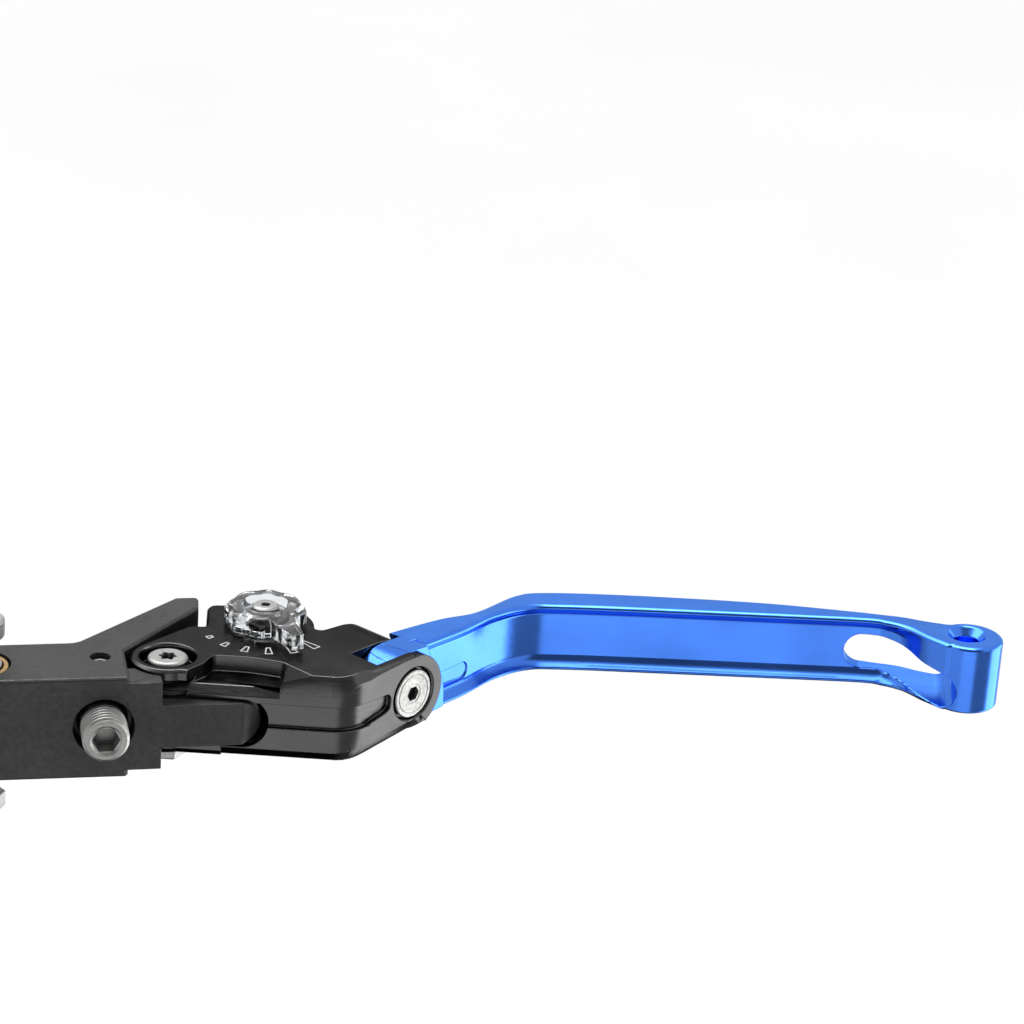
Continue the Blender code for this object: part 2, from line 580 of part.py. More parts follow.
def build_dial(axis, clear, steel):
    shaft = add("dial_cam_shaft", prism(cam_outline(), CAVITY_BOTTOM + 0.5, CAVITY_TOP - 0.5, 0.3, 0.3), DIAL,
                axis, steel)
    combine(shaft, "shaft_upper", rod(SHAFT_RADIUS, 0, SHAFT_TOP, 0.3, SMALL_STEPS), DIAL, axis, "UNION")
    combine(shaft, "shaft_journal", rod(2.1, -9.6, 0, 0.3, SMALL_STEPS), DIAL, axis, "UNION")
    combine(shaft, "shaft_thread_hole", prism(circle(1.3, 12), SHAFT_TOP - 4.9, 20), DIAL, axis)
    slope = 1.6
    widest = knob_outline(KNOB_RADIUS)
    shape = loft([(KNOB_BOTTOM, knob_outline(KNOB_RADIUS - 0.6)), (KNOB_BOTTOM + 0.6, widest),
                  (KNOB_TOP - slope, widest), (KNOB_TOP, knob_outline(KNOB_RADIUS - slope))])
    knob = add("dial_knob", shape, DIAL, axis, clear)
    build_pointer(knob, axis)
    room = prism(circle(SHAFT_RADIUS + GAP, SMALL_STEPS), 0, SHAFT_TOP + GAP)
    combine(knob, "knob_shaft_room", room, DIAL, axis)
    recess = turned([(0, KNOB_RECESS), (4.6, KNOB_RECESS), (5.4, KNOB_TOP + 1), (0, KNOB_TOP + 1)])
    combine(knob, "knob_recess", recess, DIAL, axis)
    combine(knob, "knob_screw_hole", prism(circle(1.6, 12), 10, 20), DIAL, axis)
    for k in range(-1, 5):
        dimple = DIAL @ Matrix.Rotation(k * CLICK_ANGLE, 4, "Z") @ Matrix.Translation((-DETENT_ARM, 0, 0))
        combine(knob, f"click_room_{k + 1}", prism(circle(1.45, 12), 0, 11.5), dimple, axis)
    seat = KNOB_RECESS + GAP
    screw = add("dial_screw", turned([(0, seat - 6.2), (0.8, seat - 6.2), (1.0, seat - 5.9), (1.0, seat),
                                      (2.9, seat), (3.0, seat + 0.2), (3.0, seat + 0.9), (2.4, seat + 1.4),
                                      (0, seat + 1.4)], 24), DIAL, axis, steel)
    combine(screw, "dial_screw_socket", prism(circle(1.15, 6), seat + 0.4, seat + 4), DIAL, axis)


def build_pointer(knob, axis):
    """Wedge arm that reaches from the knob's rim to the click marks."""
    side = [(4.0, 14.6), (4.0, 10.7), (9.0, 10.6), (16.0, 10.6), (16.0, 14.0), (9.6, 14.6)]
    shape = bmesh.new()
    rings = []
    for sign in (-1, 1):
        rings.append([shape.verts.new((x, sign * (3.9 - 0.155 * x), z)) for x, z in side])
    shape.faces.new(rings[0])
    shape.faces.new(list(reversed(rings[1])))
    for i in range(len(side)):
        j = (i + 1) % len(side)
        shape.faces.new((rings[0][i], rings[1][i], rings[1][j], rings[0][j]))
    bmesh.ops.recalc_face_normals(shape, faces=shape.faces)
    combine(knob, "knob_pointer", shape, DIAL @ Matrix.Rotation(POINTER_ANGLE, 4, "Z"), axis, "UNION")


# ---------------------------------------------------------------- folding blade

def blade_paths():
    """Front rim and back edge from the shoulder to the tip, as paired points in the LEVER frame."""
    front = [fork_point(44.0, 31.0), fork_point(60.0, 31.0), (69.6, 36.6), (76.6, 42.6), (84, 44.2),
             (101.4, 45.4), (130, 46.8), (152, 47.8), (157.5, 46.9), (162, 44.6), (166, 40.2), (170, 36.5)]
    back = [fork_point(41.0, 20.3), fork_point(59.5, 22.7), (63.9, 37.4), (72.6, 49.0), (80, 52.4),
            (101.4, 54.2), (129.5, 54.6), (150, 53.1), (156, 52.4), (161.3, 51.7), (166, 50.3), (171, 49.2)]
    return front, back


def channel_depth(share):
    """Depth of the front channel: none at the shoulder and the tip boss, full between."""
    opening = min(1.0, max(0.0, (share - 0.04) / 0.05))
    closing = min(1.0, max(0.0, (0.9 - share) / 0.2))
    return CHANNEL_DEPTH * opening * (3 * closing ** 2 - 2 * closing ** 3)


def blade_outline(rim_inset, depth_share, back_inset):
    front, back = blade_paths()
    front_curve = spline(front)
    count = len(front_curve)
    moved = []
    for i, here in enumerate(front_curve):
        before = front_curve[max(0, i - 1)]
        after = front_curve[min(count - 1, i + 1)]
        inward = (after - before).normalized()
        inward = Vector((-inward.y, inward.x))
        moved.append(here + inward * (rim_inset + depth_share * channel_depth(i / (count - 1))))
    tip_front = math.degrees(math.atan2(front_curve[-1].y - TIP_CENTRE[1], front_curve[-1].x - TIP_CENTRE[0]))
    back_curve = list(reversed(spline(back)))
    tip_back = math.degrees(math.atan2(back_curve[0].y - TIP_CENTRE[1], back_curve[0].x - TIP_CENTRE[0]))
    boss = arc(TIP_CENTRE, TIP_RADIUS - rim_inset, tip_front, tip_back, 48)[1:-1]
    back_moved = []
    for i, here in enumerate(back_curve):
        before = back_curve[max(0, i - 1)]
        after = back_curve[min(len(back_curve) - 1, i + 1)]
        inward = (after - before).normalized()
        back_moved.append(here + Vector((-inward.y, inward.x)) * back_inset)
    return moved + boss + back_moved


def shoulder_outline():
    """Room for the fork's ears: round below, and above it leans back until the blade is folded up."""
    top = 14
    lean = (SHOULDER_RADIUS - top * math.cos(FOLD_LIMIT)) / math.sin(FOLD_LIMIT)
    outline = [Vector(p) for p in ((-20, -top), (4, -top))]
    outline += arc((0, 0), SHOULDER_RADIUS, -62, 90 - math.degrees(FOLD_LIMIT))
    return outline + [Vector((lean, top)), Vector((-20, top))]


def build_blade(axis, blue):
    lip = BLADE_HALF - RIM_LIP - 0.4
    edge = BLADE_HALF - RIM_ROUNDING
    levels = [(-BLADE_HALF, RIM_ROUNDING, 0, RIM_ROUNDING), (-edge, 0, 0, 0), (-lip, 0, 0, 0),
              (-CHANNEL_HALF, 0, 1, 0), (CHANNEL_HALF, 0, 1, 0), (lip, 0, 0, 0), (edge, 0, 0, 0),
              (BLADE_HALF, RIM_ROUNDING, 0, RIM_ROUNDING)]
    shape = loft([(z, blade_outline(rim, depth, back)) for z, rim, depth, back in levels])
    blade = add("blade", shape, LEVER, axis, blue)
    combine(blade, "shoulder_room", prism(shoulder_outline(), -20, 20), FOLD, axis)
    half = (SLOT_FRONT - SLOT_BACK) / 2 - GAP
    root = sharp(arc((0, 0), ROOT_RADIUS, 90, 270)) + [(6.0, -ROOT_RADIUS, 0), (13.5, -8.2, 0),
                                                        (13.5, 7.2, 0), (8.0, 8.3, 0)]
    combine(blade, "blade_root", prism(rounded(root), -half, half), FOLD, axis, "UNION")
    combine(blade, "fold_bore", prism(circle(4.6, SMALL_STEPS), -20, 20), FOLD, axis)
    for name, low, high in (("washer_seat", half - 0.8, half + 4), ("spring_room", -half - 4, 4.3 - half)):
        combine(blade, name, prism(circle(6.4), low, high), FOLD, axis)
    low, high = (TIP_SLOT[0] + TIP_SLOT_RADIUS, 0), (TIP_SLOT[1] - TIP_SLOT_RADIUS, 0)
    slot = sharp(arc(high, TIP_SLOT_RADIUS, -90, 90)) + sharp(arc(low, TIP_SLOT_RADIUS, 90, 270))
    tilt = Matrix.Rotation(TIP_SLOT_TILT, 4, "X")
    tilted = LEVER @ Matrix.Translation((0, TIP_SLOT_BACK, 0)) @ tilt @ SIDEWAYS
    combine(blade, "tip_slot", prism(rounded(slot), -12, 30), tilted, axis)
    hole = turned([(0, 4.6), (2.8, 4.6), (2.8, 6.4), (5.2, 8.8), (5.2, 10), (0, 10)], 28)
    combine(blade, "tip_hole", hole, LEVER @ Matrix.Translation((*TIP_HOLE, 0)), axis)


def build_fold_hardware(axis, steel, polymer):
    half = (SLOT_FRONT - SLOT_BACK) / 2
    add("fold_sleeve", tube(4.3, 3.1, -half + GAP, half - GAP, 0.3, SMALL_STEPS), FOLD, axis, steel)
    add("fold_washer_front", tube(6.1, 4.6, half - 0.8, half - 0.25, 0.1, SMALL_STEPS), FOLD, axis, polymer)
    add("fold_washer_back", tube(6.1, 4.6, 0.25 - half, 0.8 - half, 0.1, SMALL_STEPS), FOLD, axis, polymer)
    spring_place = FOLD @ Matrix.Translation((0, 0, 1.6 - half))
    add("fold_return_spring", coil(5.5, 0.4, 1.9, 1.2, 20), spring_place, axis, steel)


def build():
    clear_scene()
    black = material("black_anodised", (0.012, 0.012, 0.014), 0.35, 0.6)
    dark = material("dark_grey_anodised", (0.09, 0.09, 0.095), 0.55, 0.5)
    blue = material("blue_anodised", (0.03, 0.2, 0.75), 0.22, 0.9)
    steel = material("zinc_steel", (0.6, 0.6, 0.6), 0.3, 1.0)
    bronze = material("bronze", (0.55, 0.36, 0.16), 0.4, 1.0)
    polymer = material("black_polymer", (0.02, 0.02, 0.02), 0.6, 0.0)
    clear = material("clear_polycarbonate", (0.8, 0.82, 0.84), 0.08, 0.0, 0.35)
    perch = empty("perch_axis", Matrix.Translation((0, 0, 0)))
    pull = empty("lever_pull_axis", ADAPTER, perch)
    piston = empty("piston_screw_axis", PISTON, pull)
    reach = empty("reach_axis", LEVER, pull)
    dial = empty("dial_axis", DIAL, reach)
    fold = empty("fold_axis", FOLD, reach)
    build_perch_pivot(perch, steel)
    build_adapter(pull, dark)
    build_adapter_hardware(pull, bronze, steel, polymer)
    build_piston_screw(piston, steel)
    build_body(reach, black)
    build_body_hardware(reach, steel, polymer)
    build_dial(dial, clear, steel)
    build_blade(fold, blue)
    build_fold_hardware(fold, steel, polymer)


build()
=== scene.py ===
import json
import math

import bmesh
import bpy
from mathutils import Matrix, Vector


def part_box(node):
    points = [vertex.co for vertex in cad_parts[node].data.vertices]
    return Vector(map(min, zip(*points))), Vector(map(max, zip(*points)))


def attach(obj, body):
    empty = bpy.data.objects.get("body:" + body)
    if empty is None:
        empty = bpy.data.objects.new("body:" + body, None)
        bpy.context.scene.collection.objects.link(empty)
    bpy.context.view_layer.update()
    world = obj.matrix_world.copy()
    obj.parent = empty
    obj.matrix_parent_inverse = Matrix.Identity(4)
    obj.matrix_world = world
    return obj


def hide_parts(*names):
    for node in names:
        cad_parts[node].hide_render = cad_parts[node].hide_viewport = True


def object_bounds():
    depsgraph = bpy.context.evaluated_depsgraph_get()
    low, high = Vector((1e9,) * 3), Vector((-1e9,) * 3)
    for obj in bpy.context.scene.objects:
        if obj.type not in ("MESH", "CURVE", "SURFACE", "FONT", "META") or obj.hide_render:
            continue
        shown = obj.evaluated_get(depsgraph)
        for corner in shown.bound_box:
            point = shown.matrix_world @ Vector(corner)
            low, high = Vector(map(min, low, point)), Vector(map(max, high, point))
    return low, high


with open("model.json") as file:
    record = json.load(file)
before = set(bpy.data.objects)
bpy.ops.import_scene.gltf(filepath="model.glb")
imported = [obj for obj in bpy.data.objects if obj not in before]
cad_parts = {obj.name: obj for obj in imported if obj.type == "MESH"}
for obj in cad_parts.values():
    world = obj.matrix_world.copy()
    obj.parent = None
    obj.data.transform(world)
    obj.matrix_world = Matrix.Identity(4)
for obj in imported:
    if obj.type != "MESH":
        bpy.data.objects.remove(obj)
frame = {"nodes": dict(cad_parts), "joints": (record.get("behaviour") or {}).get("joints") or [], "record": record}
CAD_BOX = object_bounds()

# Looks of the folding, reach-adjustable clutch lever.  Shapes below are drawn in millimetres in the joints'
# own frames and become metres when a mesh is made.
MM = 0.001
STEPS = 96
MITRE_LIMIT = 0.4
WELD_GAP = 0.003
# A cutter that goes right through a piece reaches this far each way.
FAR = 20

JOINTS = {joint["name"]: joint for joint in frame["joints"]}
SLOTS = {part["node"]: part["material_slot"] for part in frame["record"]["subparts"]}


def joint_point(name):
    return Vector(JOINTS[name]["pos_m"]) / MM


FORK_YAW = math.radians(50.0)
ADAPTER_YAW = math.radians(12.6)
UPRIGHT = Matrix.Rotation(math.pi / 2, 4, "X")
ADAPTER = Matrix.Translation(joint_point("lever_pull")) @ Matrix.Rotation(ADAPTER_YAW, 4, "Z")
LEVER = Matrix.Translation(joint_point("reach_adjust"))
DIAL = Matrix.Translation(joint_point("dial_turn"))
FORK = LEVER @ Matrix.Rotation(FORK_YAW, 4, "Z") @ UPRIGHT
FOLD = Matrix.Translation(joint_point("blade_fold")) @ Matrix.Rotation(FORK_YAW, 4, "Z") @ UPRIGHT


# ---------------------------------------------------------------- outlines

def arc(centre, radius, start, end, steps=STEPS):
    """Points from start to end degrees, counter-clockwise when end is greater."""
    count = max(2, round(abs(end - start) / 360 * steps + 0.25))
    points = []
    for i in range(count + 1):
        angle = math.radians(start + (end - start) * i / count)
        points.append(Vector((centre[0] + radius * math.cos(angle), centre[1] + radius * math.sin(angle))))
    return points


def circle(radius, steps=STEPS, centre=(0, 0)):
    return arc(centre, radius, 0, 360, steps)[:-1]


def rounded(corners):
    """Closed outline through (x, y, radius) corners, each rounded by an arc of its radius."""
    outline = []
    for i, (x, y, radius) in enumerate(corners):
        here = Vector((x, y))
        if radius == 0:
            outline.append(here)
            continue
        before = (Vector(corners[i - 1][:2]) - here).normalized()
        after = (Vector(corners[(i + 1) % len(corners)][:2]) - here).normalized()
        half = before.angle(after) / 2
        centre = here + (before + after).normalized() * radius / math.sin(half)
        first = here + before * radius / math.tan(half) - centre
        last = here + after * radius / math.tan(half) - centre
        start = math.degrees(math.atan2(first.y, first.x))
        turn = math.degrees(math.atan2(first.cross(last), first.dot(last)))
        outline += arc(centre, radius, start, start + turn)
    return outline


def sharp(points):
    return [(p[0], p[1], 0) for p in points]


def spline(points, steps=10):
    """Smooth open curve through points (Catmull-Rom)."""
    knots = [2 * Vector(points[0]) - Vector(points[1])] + [Vector(p) for p in points]
    knots.append(2 * Vector(points[-1]) - Vector(points[-2]))
    curve = []
    for a, b, c, d in zip(knots, knots[1:], knots[2:], knots[3:]):
        for i in range(steps):
            u = i / steps
            curve.append(0.5 * (2 * b + (c - a) * u + (2 * a - 5 * b + 4 * c - d) * u ** 2
                                + (3 * b - 3 * c + d - a) * u ** 3))
    return curve + [Vector(points[-1])]


def inset(outline, distance):
    """Counter-clockwise outline moved inwards, with mitred corners."""
    moved = []
    for i, here in enumerate(outline):
        before = (here - outline[i - 1]).normalized()
        after = (outline[(i + 1) % len(outline)] - here).normalized()
        normal = Vector((-before.y - after.y, before.x + after.x)).normalized()
        spread = max(MITRE_LIMIT, normal.dot(Vector((-after.y, after.x))))
        moved.append(here + normal * distance / spread)
    return moved


def sideways(curve, distances):
    """Open curve with each point moved to its left by its own distance."""
    moved = []
    for i, here in enumerate(curve):
        along = (curve[min(len(curve) - 1, i + 1)] - curve[max(0, i - 1)]).normalized()
        moved.append(here + Vector((-along.y, along.x)) * distances[i])
    return moved


def fork_point(t, n):
    """Plan position in the LEVER frame of a point t along and n across the fork."""
    return Vector((math.cos(FORK_YAW) * t + math.sin(FORK_YAW) * n,
                   math.sin(FORK_YAW) * t - math.cos(FORK_YAW) * n))


def ease(share):
    """Smooth step from 0 to 1."""
    share = min(1.0, max(0.0, share))
    return 3 * share ** 2 - 2 * share ** 3


# ---------------------------------------------------------------- meshes

def loft(levels):
    """Closed solid through levels, each (height, outline) with the same number of points."""
    mesh = bmesh.new()
    rings = [[mesh.verts.new((p[0], p[1], z)) for p in outline] for z, outline in levels]
    mesh.faces.new(list(reversed(rings[0])))
    mesh.faces.new(rings[-1])
    bridge(mesh, rings)
    return mesh


def bridge(mesh, rings):
    for low, high in zip(rings, rings[1:]):
        for i in range(len(low)):
            j = (i + 1) % len(low)
            mesh.faces.new((low[i], low[j], high[j], high[i]))


def prism(outline, bottom, top, low_chamfer=0.0, high_chamfer=0.0):
    levels = [(bottom, inset(outline, low_chamfer)) if low_chamfer else (bottom, outline)]
    if low_chamfer:
        levels.append((bottom + low_chamfer, outline))
    if high_chamfer:
        levels.append((top - high_chamfer, outline))
    levels.append((top, inset(outline, high_chamfer)) if high_chamfer else (top, outline))
    return loft(levels)


def block(low, high):
    corners = ((low[0], low[1]), (high[0], low[1]), (high[0], high[1]), (low[0], high[1]))
    return prism([Vector(p) for p in corners], low[2], high[2])


def turned(profile, steps=STEPS):
    """Solid of revolution about Z of (radius, height) points from the axis back to the axis."""
    mesh = bmesh.new()
    verts = [mesh.verts.new((r, 0, z)) for r, z in profile]
    edges = [mesh.edges.new(pair) for pair in zip(verts, verts[1:])]
    if profile[0][0] > 0:
        edges.append(mesh.edges.new((verts[-1], verts[0])))
    bmesh.ops.spin(mesh, geom=verts + edges, cent=(0, 0, 0), axis=(0, 0, 1), angle=2 * math.pi,
                   steps=steps, use_merge=True)
    bmesh.ops.remove_doubles(mesh, verts=mesh.verts, dist=0.0005)
    bmesh.ops.recalc_face_normals(mesh, faces=mesh.faces)
    return mesh


def draw(name, mesh, place):
    """Object from a bmesh drawn in millimetres in the frame place."""
    bmesh.ops.transform(mesh, matrix=Matrix.Scale(MM, 4) @ place, verts=mesh.verts)
    data = bpy.data.meshes.new(name)
    mesh.to_mesh(data)
    mesh.free()
    made = bpy.data.objects.new(name, data)
    bpy.context.scene.collection.objects.link(made)
    return made


def combine(target, mesh, place, operation="DIFFERENCE"):
    """Cuts a shape from target, or joins it on."""
    cutter = draw("cutter", mesh, place)
    modifier = target.modifiers.new("combine", "BOOLEAN")
    modifier.operation = operation
    modifier.object = cutter
    modifier.solver = "EXACT"


def settle(made):
    """Applies the modifiers so far and removes the cutters they used."""
    cutters = [m.object for m in made.modifiers if m.type == "BOOLEAN"]
    evaluated = made.evaluated_get(bpy.context.evaluated_depsgraph_get())
    mesh = bpy.data.meshes.new_from_object(evaluated)
    made.modifiers.clear()
    made.data = mesh
    for cutter in cutters:
        bpy.data.objects.remove(cutter)
    shape = bmesh.new()
    shape.from_mesh(mesh)
    bmesh.ops.remove_doubles(shape, verts=shape.verts, dist=WELD_GAP * MM)
    bmesh.ops.dissolve_limit(shape, angle_limit=math.radians(0.3), verts=shape.verts, edges=shape.edges)
    shape.to_mesh(mesh)
    shape.free()


def present(made, body, slot, nodes, width=0.15, angle=35.0):
    """Finishes a new piece: soft edges, smooth shading, material, its body and the nodes it replaces."""
    settle(made)
    if width:
        bevel = made.modifiers.new("edges", "BEVEL")
        bevel.width = width * MM
        bevel.segments = 2
        bevel.limit_method = "ANGLE"
        bevel.angle_limit = math.radians(angle)
        bevel.use_clamp_overlap = False
        made.modifiers.new("normals", "WEIGHTED_NORMAL").keep_sharp = True
    made.data.shade_smooth()
    made.data.set_sharp_from_angle(angle=math.radians(angle))
    made.data.materials.clear()
    made.data.materials.append(MATERIALS[slot])
    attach(made, body)
    if nodes:
        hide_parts(*nodes)
    return made


# ---------------------------------------------------------------- materials

class Graph:
    """Node tree of one material, with short calls to add and link nodes."""

    def __init__(self, name):
        self.material = bpy.data.materials.new(name)
        self.material.use_nodes = True
        self.tree = self.material.node_tree
        self.shader = self.tree.nodes["Principled BSDF"]
        self.place = self.node("ShaderNodeTexCoord").outputs["Object"]

    def node(self, kind, **values):
        made = self.tree.nodes.new(kind)
        for key, value in values.items():
            setattr(made, key, value)
        return made

    def link(self, source, target):
        self.tree.links.new(source, target)

    def set(self, **values):
        for key, value in values.items():
            self.shader.inputs[key.replace("_", " ")].default_value = value

    def feed(self, **sources):
        """Links each source to the shader's input of that name."""
        for key, source in sources.items():
            self.link(source, self.shader.inputs[key.replace("_", " ")])

    def stretched(self, scale):
        mapping = self.node("ShaderNodeMapping")
        mapping.inputs["Scale"].default_value = scale
        self.link(self.place, mapping.inputs["Vector"])
        return mapping.outputs["Vector"]

    def noise(self, scale, detail=4.0, place=None):
        made = self.node("ShaderNodeTexNoise")
        made.inputs["Scale"].default_value = scale
        made.inputs["Detail"].default_value = detail
        self.link(place or self.place, made.inputs["Vector"])
        return made.outputs["Fac"]

    def between(self, factor, low, high, start=0.0, end=1.0):
        made = self.node("ShaderNodeMapRange")
        made.inputs["From Min"].default_value = start
        made.inputs["From Max"].default_value = end
        made.inputs["To Min"].default_value = low
        made.inputs["To Max"].default_value = high
        self.link(factor, made.inputs["Value"])
        return made.outputs["Result"]

    def mix(self, factor, one, two):
        made = self.node("ShaderNodeMix", data_type="RGBA")
        for socket, value in (("A", one), ("B", two)):
            target = [i for i in made.inputs if i.name == socket and i.type == "RGBA"][0]
            if isinstance(value, bpy.types.NodeSocket):
                self.link(value, target)
            else:
                target.default_value = (*value, 1.0)
        self.link(factor, made.inputs["Factor"])
        return [o for o in made.outputs if o.type == "RGBA"][0]

    def bump(self, height, distance, strength=1.0, before=None):
        made = self.node("ShaderNodeBump")
        made.inputs["Distance"].default_value = distance
        made.inputs["Strength"].default_value = strength
        self.link(height, made.inputs["Height"])
        if before:
            self.link(before, made.inputs["Normal"])
        return made.outputs["Normal"]

    def edges(self, radius):
        """1 along sharp edges and 0 on flat ground."""
        bevel = self.node("ShaderNodeBevel", samples=4)
        bevel.inputs["Radius"].default_value = radius
        flat = self.node("ShaderNodeNewGeometry").outputs["Normal"]
        dot = self.node("ShaderNodeVectorMath", operation="DOT_PRODUCT")
        self.link(bevel.outputs["Normal"], dot.inputs[0])
        self.link(flat, dot.inputs[1])
        return self.between(dot.outputs["Value"], 1.0, 0.0, 0.8, 0.98)


def shades(colour, *shares):
    """The colour times each share."""
    return [[c * share for c in colour] for share in shares]


def anodised(name, colour, worn, roughness, lines, edge_tint=(1.0, 1.0, 1.0), coat=0.0):
    """Milled and anodised aluminium: tool lines, cloudy dye, polished edges and a shallow-angle tint."""
    graph = Graph(name)
    cloud = graph.between(graph.noise(60.0, 6.0), 0.0, 1.0, 0.3, 0.7)
    dye = graph.mix(cloud, *shades(colour, 0.86, 1.1))
    wear = graph.edges(0.25 * MM)
    scuffed = graph.node("ShaderNodeMath", operation="MULTIPLY")
    graph.link(wear, scuffed.inputs[0])
    graph.link(graph.between(graph.noise(420.0, 3.0), 0.15, 1.0, 0.4, 0.62), scuffed.inputs[1])
    grain = graph.noise(900.0, 2.0, graph.stretched(lines))
    fine = graph.bump(graph.noise(3200.0, 2.0), 0.006 * MM)
    graph.feed(Base_Color=graph.mix(scuffed.outputs["Value"], dye, worn),
               Roughness=graph.between(grain, roughness * 0.8, roughness * 1.25, 0.3, 0.7),
               Normal=graph.bump(grain, 0.008 * MM, 1.0, fine))
    graph.set(Metallic=1.0, Specular_Tint=(*edge_tint, 1.0))
    graph.set(Coat_Weight=coat, Coat_Roughness=0.12, Coat_IOR=1.6)
    return graph.material


def steel(name, colour, roughness):
    """Plated steel with faint turning marks and small stains, and painted shade that darkens the colour deep in
    its sockets and recesses.
    """
    graph = Graph(name)
    full, stained, socket_shade_colour = shades(colour, 1.0, 0.78, 0.05)
    plated = graph.mix(graph.between(graph.noise(260.0, 5.0), 0.0, 1.0, 0.35, 0.7), full, stained)
    # Painted shade: the ambient-occlusion mask mixes the colour towards near black deep in sockets and recesses,
    # where shade falls.
    openness = graph.node("ShaderNodeAmbientOcclusion", samples=8)
    openness.inputs["Distance"].default_value = 3.0 * MM
    painted_socket_shade = graph.between(openness.outputs["AO"], 1.0, 0.0, 0.3, 0.62)
    marks = graph.noise(1500.0, 3.0)
    graph.feed(Base_Color=graph.mix(painted_socket_shade, plated, socket_shade_colour),
               Roughness=graph.between(marks, roughness * 0.75, roughness * 1.3, 0.3, 0.7),
               Normal=graph.bump(marks, 0.01 * MM))
    graph.set(Metallic=1.0)
    return graph.material


def polymer(name, colour, roughness):
    """Moulded black plastic with a light speckle."""
    graph = Graph(name)
    speckle = graph.between(graph.noise(700.0, 3.0), 0.0, 1.0, 0.35, 0.65)
    graph.feed(Base_Color=graph.mix(speckle, *shades(colour, 1.0, 1.6)),
               Roughness=graph.between(speckle, roughness, roughness * 1.2),
               Normal=graph.bump(graph.noise(2400.0, 3.0), 0.02 * MM))
    return graph.material


def clear_plastic(name):
    """Moulded clear polycarbonate, slightly smoked, with soft ripples."""
    graph = Graph(name)
    graph.feed(Roughness=graph.between(graph.noise(300.0, 4.0), 0.02, 0.12, 0.35, 0.7),
               Normal=graph.bump(graph.noise(190.0, 2.0), 0.1 * MM))
    graph.set(Base_Color=(0.86, 0.88, 0.9, 1.0), Transmission_Weight=1.0, IOR=1.58)
    return graph.material


def paint(name, colour):
    """Printed ink, thinner in places."""
    graph = Graph(name)
    thin = graph.between(graph.noise(2200.0, 3.0), 0.0, 1.0, 0.35, 0.6)
    graph.feed(Base_Color=graph.mix(thin, *shades(colour, 0.7, 1.0)),
               Roughness=graph.between(thin, 0.45, 0.65))
    return graph.material


WORN_BLACK = (0.2, 0.2, 0.2)
WORN_BLUE = (0.2, 0.5, 1.0)
MATERIALS = {
    "dark_grey_anodised": anodised("dark_grey_anodised", (0.075, 0.075, 0.077), WORN_BLACK, 0.5,
                                   lines=(1.0, 1.0, 1.0)),
    "black_anodised": anodised("black_anodised", (0.094, 0.094, 0.094), WORN_BLACK, 0.24,
                               lines=(0.2, 0.2, 2.0), edge_tint=(0.3, 0.3, 0.3)),
    "blue_anodised": anodised("blue_anodised", (0.06, 0.23, 0.92), WORN_BLUE, 0.18,
                              lines=(0.05, 1.0, 1.0), edge_tint=(0.55, 0.8, 1.0), coat=0.25),
    "zinc_steel": steel("zinc_steel", (0.44, 0.44, 0.43), 0.46),
    "bronze": steel("bronze", (0.55, 0.36, 0.16), 0.35),
    "black_polymer": polymer("black_polymer", (0.02, 0.02, 0.02), 0.5),
    "clear_polycarbonate": clear_plastic("clear_polycarbonate"),
    "white_print": paint("white_print", (0.8, 0.8, 0.78)),
}


# ---------------------------------------------------------------- folding blade

# The channel's and the rim's depths go down from the top and bottom faces.  RISE_END, CHANNEL_END and
# CHANNEL_FADE are shares of the blade's length.
BLADE_HALF = 8.1
BLADE_RISE = 1.2
RISE_END = 0.34
RIM_RADIUS = 0.9
RIM_SPREAD = 1.45
BACK_RADIUS = 1.7
CHANNEL_DEPTH = 2.3
CHANNEL_EDGE = 0.9
CHANNEL_SLOPE = 2.6
CHANNEL_CURVE = 1.8
CHANNEL_END = 0.9
CHANNEL_FADE = 0.2
MID_DEPTH = 4.4
TIP_CENTRE = (175.6, 42.3)
TIP_RADIUS = 7.5
TIP_HOLE = (175.0, 43.1)
TIP_SLOT = (148.5, 173.0)
TIP_SLOT_RADIUS = 4.0
TIP_SLOT_BACK = 54.0
TIP_SLOT_TILT = math.atan(0.2)
SHOULDER_RADIUS = 9.3
SHOULDER_TOP = 14
ROOT_RADIUS = 8.8
ROOT_HALF = 3.65
FOLD_BORE = 4.6
WASHER_RADIUS = 6.4


def blade_paths():
    """Front rim and back edge from the shoulder to the tip, as paired curves in the LEVER frame."""
    front = [fork_point(44.0, 31.0), fork_point(60.0, 31.0), (69.6, 36.6), (76.6, 42.6), (84, 44.2),
             (101.4, 45.4), (130, 46.8), (152, 47.8), (157.5, 46.9), (162, 44.6), (166, 40.2), (170, 36.5)]
    back = [fork_point(41.0, 20.3), fork_point(59.5, 22.7), (63.9, 37.4), (72.6, 49.0), (80, 52.4),
            (101.4, 54.2), (129.5, 54.6), (150, 53.1), (156, 52.4), (161.3, 51.7), (166, 50.3), (171, 49.2)]
    return spline(front), spline(back)


def corner_retreat(depth, radius):
    """How far a rounded corner stands back at a depth below the face."""
    if depth >= radius:
        return 0.0
    return radius - math.sqrt(radius ** 2 - (radius - depth) ** 2)


